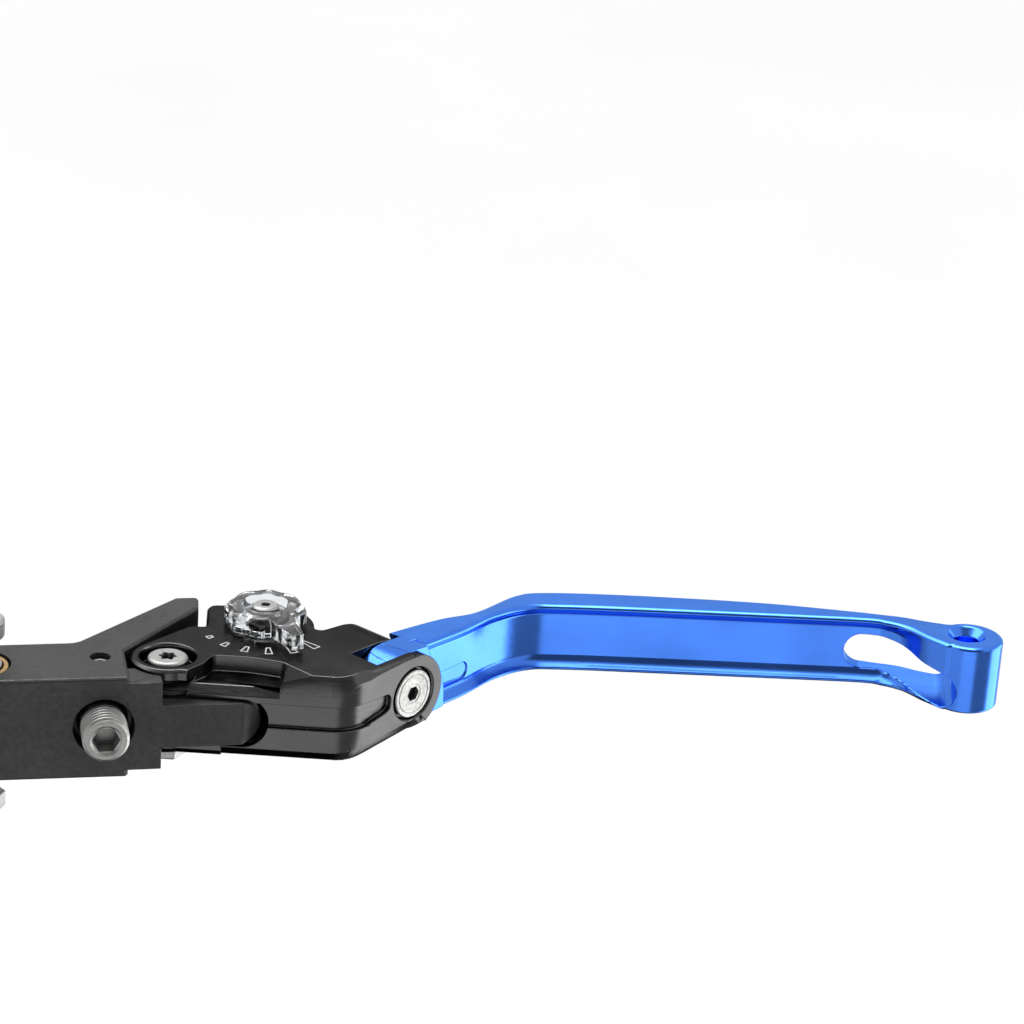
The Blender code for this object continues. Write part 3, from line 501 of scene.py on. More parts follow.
def blade_ring(depth):
    """Outline of the blade at a depth below its top or bottom face, with each point's share of the length."""
    front, back = blade_paths()
    count = len(front)
    shares = [i / (count - 1) for i in range(count)]
    fall = min(1.0, max(0.0, (depth - CHANNEL_EDGE) / CHANNEL_SLOPE))
    channel = CHANNEL_DEPTH * (1 - (1 - fall) ** CHANNEL_CURVE)
    rim = RIM_SPREAD * corner_retreat(depth, RIM_RADIUS)
    moved = sideways(front, [rim + channel * ease((CHANNEL_END - s) / CHANNEL_FADE) for s in shares])
    first = Vector(front[-1]) - Vector(TIP_CENTRE)
    last = Vector(back[-1]) - Vector(TIP_CENTRE)
    boss = arc(TIP_CENTRE, TIP_RADIUS - rim, math.degrees(math.atan2(first.y, first.x)),
               math.degrees(math.atan2(last.y, last.x)), 96)[1:-1]
    rear = sideways(back, [-corner_retreat(depth, BACK_RADIUS)] * count)
    return moved + boss + list(reversed(rear)), shares + [1.0] * len(boss) + list(reversed(shares)), count


def blade_body():
    """Loft of the blade's outlines, with top and bottom faces as strips between the two edges."""
    depths = [RIM_RADIUS * (1 - math.cos(math.radians(15 * k))) for k in range(7)]
    depths += [CHANNEL_EDGE + CHANNEL_SLOPE * (k / 10) ** 1.3 for k in range(1, 11)] + [MID_DEPTH]
    heights = [(-1, d) for d in depths] + [(1, d) for d in reversed(depths)]
    mesh = bmesh.new()
    rings = []
    for side, depth in heights:
        outline, shares, count = blade_ring(depth)
        ring = []
        for point, share in zip(outline, shares):
            z = side * (BLADE_HALF - depth)
            if side > 0:
                z += BLADE_RISE * (1 - ease(share / RISE_END)) * z / BLADE_HALF
            ring.append(mesh.verts.new((point.x, point.y, z)))
        rings.append(ring)
    bridge(mesh, rings)
    for ring in (rings[0], rings[-1]):
        total = len(ring)
        for i in range(count - 1):
            mesh.faces.new((ring[i], ring[i + 1], ring[total - 2 - i], ring[total - 1 - i]))
        mesh.faces.new(ring[count - 1:total - count + 1])
    bmesh.ops.recalc_face_normals(mesh, faces=mesh.faces)
    return mesh


def root_outline():
    """Side of the root between the fork's ears, ending in a lip that stands proud of the channel."""
    lip = spline([(7.0, 8.4), (7.7, 6.6), (9.4, 3.2), (11.9, 0.0), (12.9, -3.4), (13.1, -8.0)], 8)
    return arc((0, 0), ROOT_RADIUS, 90, 270) + list(reversed(lip))


def shoulder_outline():
    """Room for the fork's ears: round below, and above it leans back until the blade is folded up."""
    limit = math.radians(JOINTS["blade_fold"]["range_deg"][1])
    lean = (SHOULDER_RADIUS - SHOULDER_TOP * math.cos(limit)) / math.sin(limit)
    outline = [Vector(p) for p in ((-FAR, -SHOULDER_TOP), (4, -SHOULDER_TOP))]
    outline += arc((0, 0), SHOULDER_RADIUS, -62, 90 - math.degrees(limit))
    return outline + [Vector((lean, SHOULDER_TOP)), Vector((-FAR, SHOULDER_TOP))]


def join_root(blade):
    """Root between the ears, with its lip, and the bore and washer seats of the fold joint."""
    back = sharp(arc((0, 0), ROOT_RADIUS, 90, 270))
    back += [(6.0, -ROOT_RADIUS, 0), (13.5, -8.4, 0), (13.5, 7.6, 0), (8.0, 8.5, 0)]
    combine(blade, prism(rounded(back), -ROOT_HALF, -0.4), FOLD, "UNION")
    combine(blade, prism(root_outline(), -1.0, ROOT_HALF), FOLD, "UNION")
    combine(blade, prism(circle(FOLD_BORE), -FAR, FAR), FOLD)
    for low, high in ((ROOT_HALF - 0.8, ROOT_HALF + 4), (-ROOT_HALF - 4, 4.3 - ROOT_HALF)):
        combine(blade, prism(circle(WASHER_RADIUS), low, high), FOLD)


def cut_root_pocket(blade):
    """Shallow pocket in the channel beside the fork."""
    pocket = rounded([(53.2, -5.0, 0), (64.8, -5.0, 2.0), (64.8, -0.9, 2.0), (53.2, -0.9, 0)])
    combine(blade, prism(pocket, 27.9, 34.0), FORK)


def cut_tip(blade):
    """Slot through the end of the blade and the countersunk hole in its tip boss."""
    slot = sharp(arc((TIP_SLOT[1] - TIP_SLOT_RADIUS, 0), TIP_SLOT_RADIUS, -90, 90))
    slot += sharp(arc((TIP_SLOT[0] + TIP_SLOT_RADIUS, 0), TIP_SLOT_RADIUS, 90, 270))
    tilt = Matrix.Translation((0, TIP_SLOT_BACK, 0)) @ Matrix.Rotation(TIP_SLOT_TILT, 4, "X")
    combine(blade, prism(rounded(slot), -12, 30), LEVER @ tilt @ UPRIGHT)
    hole = turned([(0, 4.6), (2.8, 4.6), (2.8, 6.4), (5.2, 8.8), (5.2, 10), (0, 10)])
    combine(blade, hole, LEVER @ Matrix.Translation((*TIP_HOLE, 0)))


def build_blade():
    blade = draw("blade_milled", blade_body(), LEVER)
    combine(blade, prism(shoulder_outline(), -FAR, FAR), FOLD)
    join_root(blade)
    cut_root_pocket(blade)
    cut_tip(blade)
    present(blade, "folding_blade", "blue_anodised", ["blade"], 0.2)


# ---------------------------------------------------------------- lever body

# The reach pivot is the origin.  T runs along the fork, N across it from back to front, Z is the height.
BODY_HALF = 10.0
BODY_FRONT = -7.3
BODY_BORE = 2.8
RING_RADIUS = 8.0
CAVITY_TOP = 5.2
CAVITY_BOTTOM = -7.2
POCKET_FLOOR = 6.6
DIAL_CENTRE = tuple((joint_point("dial_turn") - joint_point("reach_adjust"))[:2])
LOBE_CENTRE = (20.0, 20.4)
LOBE_RADIUS = 9.6
DETENT_ARM = 5.9
DETENT_BORE = 1.15
SHAFT_BORE = 3.3
FORK_START = 20.0
FOLD_T = 39.6
FOLD_N = 28.85
FOLD_Z = 1.0
EAR_FRONT = 35.2
EAR_BACK = 15.2
SLOT_FRONT = 32.8
SLOT_BACK = 24.9
EAR_RADIUS = 8.9
WINDOW_END = 22.3
WINDOW_TOP = 4.1
WINDOW_BOTTOM = -6.9
BEND_RADIUS = 9.3
BEND_X = (EAR_FRONT + BODY_FRONT * math.cos(FORK_YAW)) / math.sin(FORK_YAW)
BAND_DEPTH = 1.2
BAND_LOW = -2.2
BAND_HIGH = 3.4
FOLD_HEAD_SEAT = EAR_FRONT - FOLD_N - 1.5
FOLD_HEAD_BORE = 5.95


def body_outline():
    """Plan of the lever body: pivot ring, slanted back edge, dial lobe, fork block and flat front."""
    corners = sharp(arc((0, 0), RING_RADIUS, 141.8, 294))
    corners.append((BEND_X, BODY_FRONT, BEND_RADIUS))
    fork_end = FOLD_T + EAR_RADIUS + 1.0
    corners += [(*fork_point(fork_end, EAR_FRONT), 0), (*fork_point(fork_end, EAR_BACK), 0)]
    corners += [(35.6, 22.6, 4.0), (30.6, 17.9, 1.2)]
    corners += sharp(arc(LOBE_CENTRE, LOBE_RADIUS, 0, 98))
    corners += [(5.4, 28.2, 2.2), (6.3, 16.6, 0.8), (2.7, 16.3, 2.2)]
    return rounded(corners)


def front_path(depth, start, ends):
    """Line along the front wall, round the bend and up the front ear, at a depth inside the surface."""
    radius = BEND_RADIUS - depth
    centre = Vector((BEND_X - BEND_RADIUS * math.tan(FORK_YAW / 2), BODY_FRONT + BEND_RADIUS))
    turn = arc(centre, radius, -90, -90 + math.degrees(FORK_YAW))
    return [Vector((start, BODY_FRONT + depth))] + turn + [fork_point(t, EAR_FRONT - depth) for t in ends]


def cut_fork(body):
    """Round ends of the fork's ears, the sloping underside before them and the slot between them."""
    rounding = [Vector((FORK_START, -BODY_HALF)), Vector((FOLD_T, FOLD_Z - EAR_RADIUS))]
    rounding += arc((FOLD_T, FOLD_Z), EAR_RADIUS, -90, 90)[1:]
    rounding += [Vector(p) for p in ((FOLD_T, 14), (58, 14), (58, -14), (FORK_START, -14))]
    combine(body, prism(list(reversed(rounding)), 8, 42), FORK)
    combine(body, block((30.1, -14, SLOT_BACK), (60, 14, SLOT_FRONT)), FORK)


def cut_room(body):
    """Room between the two plates for the adapter's tab, and the window its tongue shows through."""
    cavity = rounded([(-20, -4.0, 0), (23.0, -4.0, 3.0), (27.6, 3.0, 3.0), (27.6, 14.0, 3.0), (27.6, 40, 0),
                      (-20, 40, 0)])
    combine(body, prism(cavity, CAVITY_BOTTOM, CAVITY_TOP), LEVER)
    combine(body, prism(circle(8.7), CAVITY_BOTTOM, CAVITY_TOP), LEVER)
    half = (WINDOW_TOP - WINDOW_BOTTOM) / 2
    middle = (WINDOW_TOP + WINDOW_BOTTOM) / 2
    window = sharp(arc((WINDOW_END - half, middle), half, -90, 90))
    window += [(-20, WINDOW_TOP, 0), (-20, WINDOW_BOTTOM, 0)]
    combine(body, prism(rounded(window), 2.0, FAR), LEVER @ UPRIGHT)


def cut_bores(body):
    """Screw seats and bores of the ring, the dial, the fork and the detent, and the ear's small notch."""
    combine(body, turned([(0, 7.0), (5.9, 7.0), (5.9, 9.3), (6.9, 11), (0, 11)]), LEVER)
    combine(body, prism(circle(BODY_BORE), -FAR, FAR), LEVER)
    combine(body, prism(circle(SHAFT_BORE), 0, FAR), DIAL)
    combine(body, prism(circle(4.9), 8.4, 12), DIAL)
    combine(body, prism(circle(2.4), -FAR, 0), DIAL)
    seat = turned([(0, FOLD_HEAD_SEAT), (FOLD_HEAD_BORE, FOLD_HEAD_SEAT), (FOLD_HEAD_BORE, 5.9), (6.6, 6.6),
                   (6.6, 12), (0, 12)])
    combine(body, seat, FOLD)
    combine(body, prism(circle(3.1), -30, FAR), FOLD)
    combine(body, prism(circle(4.9), -24, 19.9 - FOLD_N), FOLD)
    detent = (DIAL_CENTRE[0] - DETENT_ARM, DIAL_CENTRE[1])
    combine(body, prism(circle(DETENT_BORE, 24, detent), 6.4, FAR), LEVER)
    notch = Matrix.Rotation(math.radians(-68), 4, "Z") @ Matrix.Translation((7.1, 0, 0))
    combine(body, prism(circle(0.55, 16), 5.7, 9), FOLD @ notch)


def build_body():
    body = draw("lever_body_milled", prism(body_outline(), -BODY_HALF, BODY_HALF, 1.8, 0.6), LEVER)
    cut_front_edges(body)
    cut_fork(body)
    cut_room(body)
    cut_pocket(body)
    cut_band(body)
    cut_bores(body)
    present(body, "lever_link", "black_anodised", ["lever_body"], 0.14)


def cut_pocket(body):
    """Milled pocket in the top front edge with a slanted right end."""
    floor = [(3.6, -12, 0), (25.2, -12, 0), (24.4, -0.2, 1.2), (17.2, 1.4, 3.0), (9.6, 1.2, 1.2),
             (8.2, -2.6, 0.8), (5.2, -6.4, 0.8)]
    rim = [(3.4, -12, 0), (38.6, -12, 0), (24.8, 0.1, 1.2), (17.2, 1.7, 3.0), (9.3, 1.5, 1.2),
           (7.9, -2.7, 0.8), (4.9, -6.7, 0.8)]
    top = pocket_ring(rim)
    levels = [(POCKET_FLOOR, pocket_ring(floor)), (BODY_HALF, top), (BODY_HALF + 2, top)]
    combine(body, loft(levels), LEVER)


def pocket_ring(corners):
    """Rounded outline with the same number of points whatever its corner angles are."""
    outline = []
    for i, (x, y, radius) in enumerate(corners):
        here = Vector((x, y))
        before = (Vector(corners[i - 1][:2]) - here).normalized()
        after = (Vector(corners[(i + 1) % len(corners)][:2]) - here).normalized()
        if radius == 0:
            outline.append(here)
            continue
        for k in range(7):
            u = k / 6
            outline.append(here + before * radius * (1 - u) ** 2 + after * radius * u ** 2)
    return outline


def cut_front_edges(body):
    """Chamfers along the top and bottom edges of the front wall, the bend and the front ear."""
    reach = 1.7
    low, high = BODY_FRONT - 1, BODY_FRONT + reach + 1
    wedge = [Vector((low, POCKET_FLOOR - reach - 1)), Vector((high, POCKET_FLOOR + 1)),
             Vector((low, POCKET_FLOOR + 1))]
    combine(body, along_x(wedge, -20.0, 24.6), LEVER)
    top = [(26.0, 2.2, 1.6, BODY_HALF), (30.0, 1.7, 1.0, BODY_HALF), (36.0, 1.1, 0.6, BODY_HALF),
           (40.0, 0.8, 0.4, BODY_HALF)]
    combine(body, swept_chamfer(1, 24.0, (1.6, 4.3, BODY_HALF), top), LEVER)
    slope = (FOLD_Z - EAR_RADIUS + BODY_HALF) / (FOLD_T - FORK_START)
    bottom = [(t, 1.6, 2.9, -BODY_HALF + slope * (t - FORK_START)) for t in (26.0, 32.0, 38.0, FOLD_T)]
    bottom.append((44.0, 0.3, 0.4, -6.9))
    combine(body, swept_chamfer(-1, 12.4, (2.6, 2.8, -BODY_HALF), bottom), LEVER)


def along_x(outline, start, end):
    """Prism along X of an outline drawn in the YZ plane."""
    mesh = bmesh.new()
    rings = [[mesh.verts.new((x, p.x, p.y)) for p in outline] for x in (start, end)]
    mesh.faces.new(rings[0])
    mesh.faces.new(rings[1])
    bridge(mesh, rings)
    bmesh.ops.recalc_face_normals(mesh, faces=mesh.faces)
    return mesh


def swept_chamfer(side, start, wall, ear):
    """Wedge along the front's top or bottom edge.  A size is reach into the body, drop and face level."""
    ends = [size[0] for size in ear]
    turns = len(front_path(0, start, [])) - 1
    first = Vector(wall)
    sizes = [first] + [first.lerp(Vector(ear[0][1:]), ease(i / (turns - 1))) for i in range(turns)]
    sizes += [Vector(size[1:]) for size in ear]
    mesh = bmesh.new()
    rings = []
    for i, (reach, drop, level) in enumerate(sizes):
        outer = front_path(-1.0, start, ends)[i]
        inner = front_path(reach + 0.5, start, ends)[i]
        low = level - side * drop * (1 + 1 / reach)
        high = level + side * drop * 0.5 / reach
        corners = ((*outer, low), (*outer, level + side * 4.0), (*inner, high))
        rings.append([mesh.verts.new(corner) for corner in corners])
    mesh.faces.new(rings[0])
    mesh.faces.new(rings[-1])
    bridge(mesh, rings)
    bmesh.ops.recalc_face_normals(mesh, faces=mesh.faces)
    if mesh.calc_volume(signed=True) < 0:
        bmesh.ops.reverse_faces(mesh, faces=mesh.faces)
    return mesh


def cut_band(body):
    """Recessed band from the window round the bend to a rounded end on the front ear."""
    outer, inner = front_path(-1.0, 17.0, [26.0]), front_path(BAND_DEPTH, 17.0, [26.0])
    combine(body, prism(outer + list(reversed(inner)), BAND_LOW, BAND_HIGH), LEVER)
    end = [(25.0, BAND_LOW, 0), (32.5, BAND_LOW + 1.6, 2.0), (32.5, BAND_HIGH, 1.6), (25.0, BAND_HIGH, 0)]
    combine(body, prism(rounded(end), EAR_FRONT - BAND_DEPTH, EAR_FRONT + 2), FORK)


# ---------------------------------------------------------------- adapter

# The perch pivot is the origin, and X runs along the block towards the tongue.
ADAPTER_FRONT = -9.5
ADAPTER_TOP = 10.4
ADAPTER_BOTTOM = -12.8
ADAPTER_SHOULDER = 30.9
ADAPTER_STEP_END = 37.8
PERCH_END_RADIUS = 9.5
REACH_PIVOT = tuple((ADAPTER.inverted() @ joint_point("reach_adjust"))[:2])
TONGUE_TOP = 3.6
TONGUE_BOTTOM = -6.1
TONGUE_END = 59.0
NOSE_CHAMFER = 4.9
PISTON_RADIUS = 5.0
PISTON_X = 25.6
PISTON_Z = -1.0
ARM_YAW = math.radians(49.5)
ARM_OFFSET = 8.6
ARM_LENGTH = 24.2
PISTON = ADAPTER @ Matrix.Translation((PISTON_X, 0, PISTON_Z)) @ UPRIGHT


def adapter_outline():
    """Full-height block with its round perch end and the arm that leans behind the lever body."""
    along = Vector((math.cos(ARM_YAW), math.sin(ARM_YAW)))
    foot = Vector(REACH_PIVOT) + ARM_OFFSET * Vector((-along.y, along.x))
    low = foot + along * ((ADAPTER_SHOULDER - foot.x) / along.x)
    tip = foot + along * ARM_LENGTH
    corners = sharp(arc((0, 0), PERCH_END_RADIUS, 75, 270))
    corners += [(ADAPTER_SHOULDER, ADAPTER_FRONT, 0.8), (low.x, low.y, 0)]
    corners += [(tip.x, tip.y, 0.8), (tip.x + 0.6, tip.y + 5.6, 1.0), (tip.x - 4.6, tip.y + 5.6, 1.5)]
    corners += [(21.0, 9.3, 4.0)]
    return rounded(corners)


def join_tongue(adapter):
    """Tab inside the link and the round-nosed tongue that shows through its window."""
    tab = sharp(arc(REACH_PIVOT, 8.2, -60, 118)) + [(29.5, 10.0, 0), (29.5, -9.2, 0), (42.0, -9.2, 0)]
    combine(adapter, prism(rounded(tab), TONGUE_BOTTOM, TONGUE_TOP), ADAPTER, "UNION")
    middle = (TONGUE_TOP + TONGUE_BOTTOM) / 2
    half = (TONGUE_TOP - TONGUE_BOTTOM) / 2
    side = sharp(arc((TONGUE_END - half, middle), half, -90, 90))
    side += [(36.0, TONGUE_TOP, 0), (36.0, TONGUE_BOTTOM, 0)]
    combine(adapter, prism(rounded(side), 4.2, -ADAPTER_FRONT), ADAPTER @ UPRIGHT, "UNION")
    front, end = ADAPTER_FRONT - 0.3, TONGUE_END + 2
    nose = [Vector(p) for p in ((TONGUE_END - NOSE_CHAMFER, front), (end, front), (end, ADAPTER_FRONT + 3.2))]
    combine(adapter, prism(nose, -FAR, FAR), ADAPTER)
    combine(adapter, prism(circle(2.5, 32, (49.5, -1.2)), -1.0, 6.2), ADAPTER @ UPRIGHT)


def join_cam_pad(adapter):
    """Pad behind the tongue that the dial's cam rests on."""
    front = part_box("dial_cam_shaft")[1].y / MM - joint_point("reach_adjust").y + 0.3
    pad = rounded([(-4.0, front - 3.0, 0), (2.8, front - 3.0, 0.5), (5.2, front, 0.5), (24.0, front, 1.0),
                   (24.0, front + 4.0, 1.5), (-4.0, front + 4.0, 0)])
    combine(adapter, prism(pad, TONGUE_BOTTOM, TONGUE_TOP), LEVER, "UNION")


def build_adapter():
    solid = prism(adapter_outline(), ADAPTER_BOTTOM, ADAPTER_TOP, 0.5, 0.5)
    adapter = draw("adapter_milled", solid, ADAPTER)
    step = block((ADAPTER_SHOULDER - 4, ADAPTER_FRONT, -11.1), (ADAPTER_STEP_END, -2.0, 9.1))
    combine(adapter, step, ADAPTER, "UNION")
    combine(adapter, prism(circle(RING_RADIUS + 0.45, centre=REACH_PIVOT), -FAR, FAR), ADAPTER)
    join_tongue(adapter)
    join_cam_pad(adapter)
    combine(adapter, prism(circle(6.8), -FAR, FAR), ADAPTER)
    combine(adapter, prism(circle(4.4, centre=REACH_PIVOT), -FAR, FAR), ADAPTER)
    combine(adapter, prism(circle(PISTON_RADIUS + 0.3), -FAR, FAR), PISTON)
    combine(adapter, prism(circle(PISTON_RADIUS + 1.4), 5.0, FAR), PISTON)
    combine(adapter, prism(circle(2.2, 48, (PISTON_X, 1.6)), 4.0, FAR), ADAPTER)
    present(adapter, "adapter", "dark_grey_anodised", ["adapter_block"], 0.18)


# ---------------------------------------------------------------- screws

THREAD_PITCH = 1.25
THREAD_DEPTH = 0.6
PISTON_FRONT = 16.0
PISTON_BACK = -6.0
SOCKET_DEPTH = 4.5


def thread(radius, root, pitch, low, high, steps=72, rows=10):
    """Rod along Z from low to high whose surface carries a helical thread that starts over its first turn."""
    mesh = bmesh.new()
    rings = []
    total = round((high - low) / pitch * rows)
    for k in range(total + 1):
        z = low + (high - low) * k / total
        fade = min(1.0, (z - low) / pitch)
        ring = []
        for i in range(steps):
            angle = 2 * math.pi * i / steps
            phase = (z / pitch - i / steps) % 1.0
            crest = min(1.0, max(0.0, 1.6 - 3.6 * abs(phase - 0.5)))
            reach = root + (radius - root) * crest * fade
            ring.append(mesh.verts.new((reach * math.cos(angle), reach * math.sin(angle), z)))
        rings.append(ring)
    mesh.faces.new(list(reversed(rings[0])))
    mesh.faces.new(rings[-1])
    bridge(mesh, rings)
    return mesh


def build_piston_screw():
    """Threaded adjuster with a hexagon socket and bevelled front, and the plain tip that meets the piston."""
    rod = thread(PISTON_RADIUS, PISTON_RADIUS - THREAD_DEPTH, THREAD_PITCH, PISTON_BACK, PISTON_FRONT)
    screw = draw("piston_screw_threaded", rod, PISTON)
    tip = turned([(0, -10.5), (2.6, -10.5), (3.0, -9.9), (3.0, -6.5), (3.6, -5.9), (3.6, -5.0), (0, -5.0)])
    combine(screw, tip, PISTON, "UNION")
    combine(screw, prism(circle(2.95, 6), PISTON_FRONT - SOCKET_DEPTH, PISTON_FRONT + 2), PISTON)
    past = PISTON_FRONT + 0.1
    lead_in = turned([(0, PISTON_FRONT - 0.5), (2.9, PISTON_FRONT - 0.5), (3.6, past), (0, past)])
    combine(screw, lead_in, PISTON)
    outside, low = PISTON_RADIUS + 1, PISTON_FRONT - 0.8
    bevel = turned([(PISTON_RADIUS - 0.8, past), (PISTON_RADIUS + 0.1, low), (outside, low), (outside, past)])
    combine(screw, bevel, PISTON)
    present(screw, "piston_screw", "zinc_steel", ["piston_adjuster_screw"], 0.08)


def build_reach_screw():
    """Round-headed shoulder screw with a six-lobed socket."""
    rim = [math.radians(15 * k) for k in range(7)]
    head = [(0, -13.4), (2.1, -13.4), (2.4, -13.1), (2.4, 7.3), (4.0, 7.3), (4.4, 7.7)]
    head += [(4.4 - 0.9 + 0.9 * math.cos(a), 9.0 + 0.9 * math.sin(a)) for a in rim]
    screw = draw("reach_screw_turned", turned(head + [(0, 9.9)]), LEVER)
    lobes = []
    for i in range(48):
        angle = math.radians(i * 7.5)
        reach = 1.75 + 0.3 * math.cos(6 * angle)
        lobes.append(Vector((reach * math.cos(angle), reach * math.sin(angle))))
    combine(screw, prism(lobes, 8.1, 12), LEVER)
    present(screw, "lever_link", "zinc_steel", ["reach_pivot_screw"], 0.08)


def build_fold_screw():
    """Flat-headed fork screw with a turned ring and a small hexagon socket."""
    back = 18.2 - FOLD_N
    head = [(0, back), (2.5, back), (2.8, 18.5 - FOLD_N), (2.8, 5.15), (5.45, 5.15), (5.45, 6.1), (5.25, 6.3)]
    head += [(4.55, 6.3), (4.5, 6.22), (4.35, 6.22), (4.3, 6.3), (2.2, 6.3), (2.15, 6.2), (0, 6.2)]
    screw = draw("fold_screw_turned", turned(head), FOLD)
    combine(screw, prism(circle(1.75, 6), 4.4, 8), FOLD)
    present(screw, "lever_link", "zinc_steel", ["fold_pivot_screw"], 0.06)


# ---------------------------------------------------------------- reach dial

KNOB_BOTTOM = 10.3
KNOB_TOP = 15.1
KNOB_RADIUS = 9.0
KNOB_RECESS = 13.1
SHAFT_TOP = 11.6
KNOB_HOLLOW = 0.93
KNOB_LOBE = 0.07
MARK_RADIUS = 14.1
MARK_LINE = 0.26
MARK_LOW = 9.98
MARK_HIGH = 10.03
REST_CLICK = 4
POINTER_ANGLE = math.radians(-61.6)
POINTER_LEAN = math.radians(2.6)
CLICK_ANGLE = math.radians(20.1)


def knob_outline(radius):
    """Eight lobes with shallow hollows between them."""
    points = []
    for i in range(160):
        angle = 2 * math.pi * i / 160
        scallop = abs(math.cos(4 * angle)) ** 1.6
        reach = radius * (KNOB_HOLLOW + KNOB_LOBE * scallop)
        points.append(Vector((reach * math.cos(angle), reach * math.sin(angle))))
    return points


def build_knob():
    """Clear knob with its pointer arm, recess and the dimples the detent ball drops into."""
    levels = [(KNOB_BOTTOM, 0.7), (KNOB_BOTTOM + 0.2, 0.3), (KNOB_BOTTOM + 0.7, 0.0), (KNOB_TOP - 1.7, 0.0),
              (KNOB_TOP - 1.1, 0.3), (KNOB_TOP - 0.5, 0.9), (KNOB_TOP, 1.8)]
    solid = loft([(z, knob_outline(KNOB_RADIUS - back)) for z, back in levels])
    knob = draw("dial_knob_moulded", solid, DIAL)
    combine(knob, pointer_arm(), DIAL @ Matrix.Rotation(POINTER_ANGLE + POINTER_LEAN, 4, "Z"), "UNION")
    combine(knob, prism(circle(SHAFT_BORE), 0, SHAFT_TOP + 0.3), DIAL)
    recess = turned([(0, KNOB_RECESS), (4.6, KNOB_RECESS), (5.4, KNOB_TOP + 1), (0, KNOB_TOP + 1)])
    combine(knob, recess, DIAL)
    combine(knob, prism(circle(1.6, 48), 10, FAR), DIAL)
    for k in range(-1, 5):
        dimple = DIAL @ Matrix.Rotation(k * CLICK_ANGLE, 4, "Z") @ Matrix.Translation((-DETENT_ARM, 0, 0))
        combine(knob, prism(circle(1.3, 20), 0, 11.5), dimple)
    present(knob, "dial", "clear_polycarbonate", ["dial_knob"], 0.12)


def pointer_arm():
    """Wedge arm that reaches from the knob's rim to the click marks."""
    side = [(4.0, 14.6), (4.0, 10.7), (9.0, 10.6), (16.0, 10.6), (16.0, 14.0), (9.6, 14.6)]
    mesh = bmesh.new()
    rings = [[mesh.verts.new((x, sign * (3.9 - 0.155 * x), z)) for x, z in side] for sign in (-1, 1)]
    mesh.faces.new(rings[0])
    mesh.faces.new(rings[1])
    bridge(mesh, rings)
    bmesh.ops.recalc_face_normals(mesh, faces=mesh.faces)
    return mesh


def build_marks():
    """Six outlined click marks on the body round the dial, growing with the reach."""
    mesh = bmesh.new()
    for k in range(6):
        turn = Matrix.Rotation(POINTER_ANGLE + (k - REST_CLICK) * CLICK_ANGLE, 4, "Z")
        half_length = 0.75 + 0.3 * k
        wide, narrow = 0.75 + 0.05 * k, 0.5
        outer = [(-half_length, -narrow), (half_length, -wide), (half_length, wide), (-half_length, narrow)]
        inner = [(x * (1 - MARK_LINE / half_length), y * (1 - MARK_LINE / abs(y))) for x, y in outer]
        rings = []
        for ring, z in ((outer, MARK_LOW), (outer, MARK_HIGH), (inner, MARK_HIGH), (inner, MARK_LOW)):
            rings.append([mesh.verts.new(turn @ Vector((MARK_RADIUS + x, y, z))) for x, y in ring])
        bridge(mesh, rings + [rings[0]])
    bmesh.ops.recalc_face_normals(mesh, faces=mesh.faces)
    marks = draw("dial_marks", mesh, DIAL)
    present(marks, "lever_link", "white_print", [], 0)


# ---------------------------------------------------------------- carried-over CAD nodes

def carry(node):
    """Keeps a CAD node's shape, softens its edges and gives it its slot's material."""
    made = frame["nodes"][node]
    weld = made.modifiers.new("weld", "WELD")
    weld.merge_threshold = 0.002 * MM
    flatten = made.modifiers.new("flatten", "DECIMATE")
    flatten.decimate_type = "DISSOLVE"
    flatten.angle_limit = math.radians(1.0)
    bevel = made.modifiers.new("edges", "BEVEL")
    bevel.width = 0.12 * MM
    bevel.segments = 2
    bevel.limit_method = "ANGLE"
    bevel.angle_limit = math.radians(32)
    bevel.use_clamp_overlap = True
    bevel.harden_normals = False
    made.data.shade_smooth()
    made.modifiers.new("normals", "WEIGHTED_NORMAL").keep_sharp = True
    made.data.materials.clear()
    made.data.materials.append(MATERIALS[SLOTS[node]])


build_blade()
build_body()
build_adapter()
build_piston_screw()
build_reach_screw()
build_fold_screw()
build_knob()
build_marks()
for name, node in frame["nodes"].items():
    if not node.hide_render:
        carry(name)


# ---------------------------------------------------------------- stage

DAYLIGHT = 1.08
FLOOR_HALF = 6.0
FLOOR_DROP = 0.12
CAMERA_RISE = math.radians(21.9)
CAMERA_ROLL = math.radians(3.71)
CAMERA_PLACE = (0.10963, -0.63796, 0.33326)
CAMERA_LENS = 117.9


def add_floor():
    """Pale floor under the object; mirror reflections don't see it."""
    mesh = bpy.data.meshes.new("floor")
    level = CAD_BOX[0].z - FLOOR_DROP
    corners = ((-1, -1), (1, -1), (1, 1), (-1, 1))
    mesh.from_pydata([(x * FLOOR_HALF, y * FLOOR_HALF, level) for x, y in corners], [], [(0, 1, 2, 3)])
    floor = bpy.data.objects.new("floor", mesh)
    bpy.context.scene.collection.objects.link(floor)
    graph = Graph("pale_floor")
    tone = graph.between(graph.noise(3.0, 3.0), 0.0, 1.0, 0.3, 0.7)
    graph.feed(Base_Color=graph.mix(tone, (0.86, 0.86, 0.86), (0.9, 0.9, 0.9)))
    graph.set(Roughness=0.8)
    mesh.materials.append(graph.material)
    floor.visible_glossy = False


def add_panel(name, place, target, size, radiance):
    """Soft rectangular light at place, aimed at target, with the given brightness of its face."""
    data = bpy.data.lights.new(name, "AREA")
    data.shape = "RECTANGLE"
    data.size, data.size_y = size
    data.energy = radiance * math.pi * size[0] * size[1]
    light = bpy.data.objects.new(name, data)
    bpy.context.scene.collection.objects.link(light)
    light.location = place
    light.visible_glossy = False
    light.rotation_euler = (Vector(target) - Vector(place)).to_track_quat("-Z", "Y").to_euler()


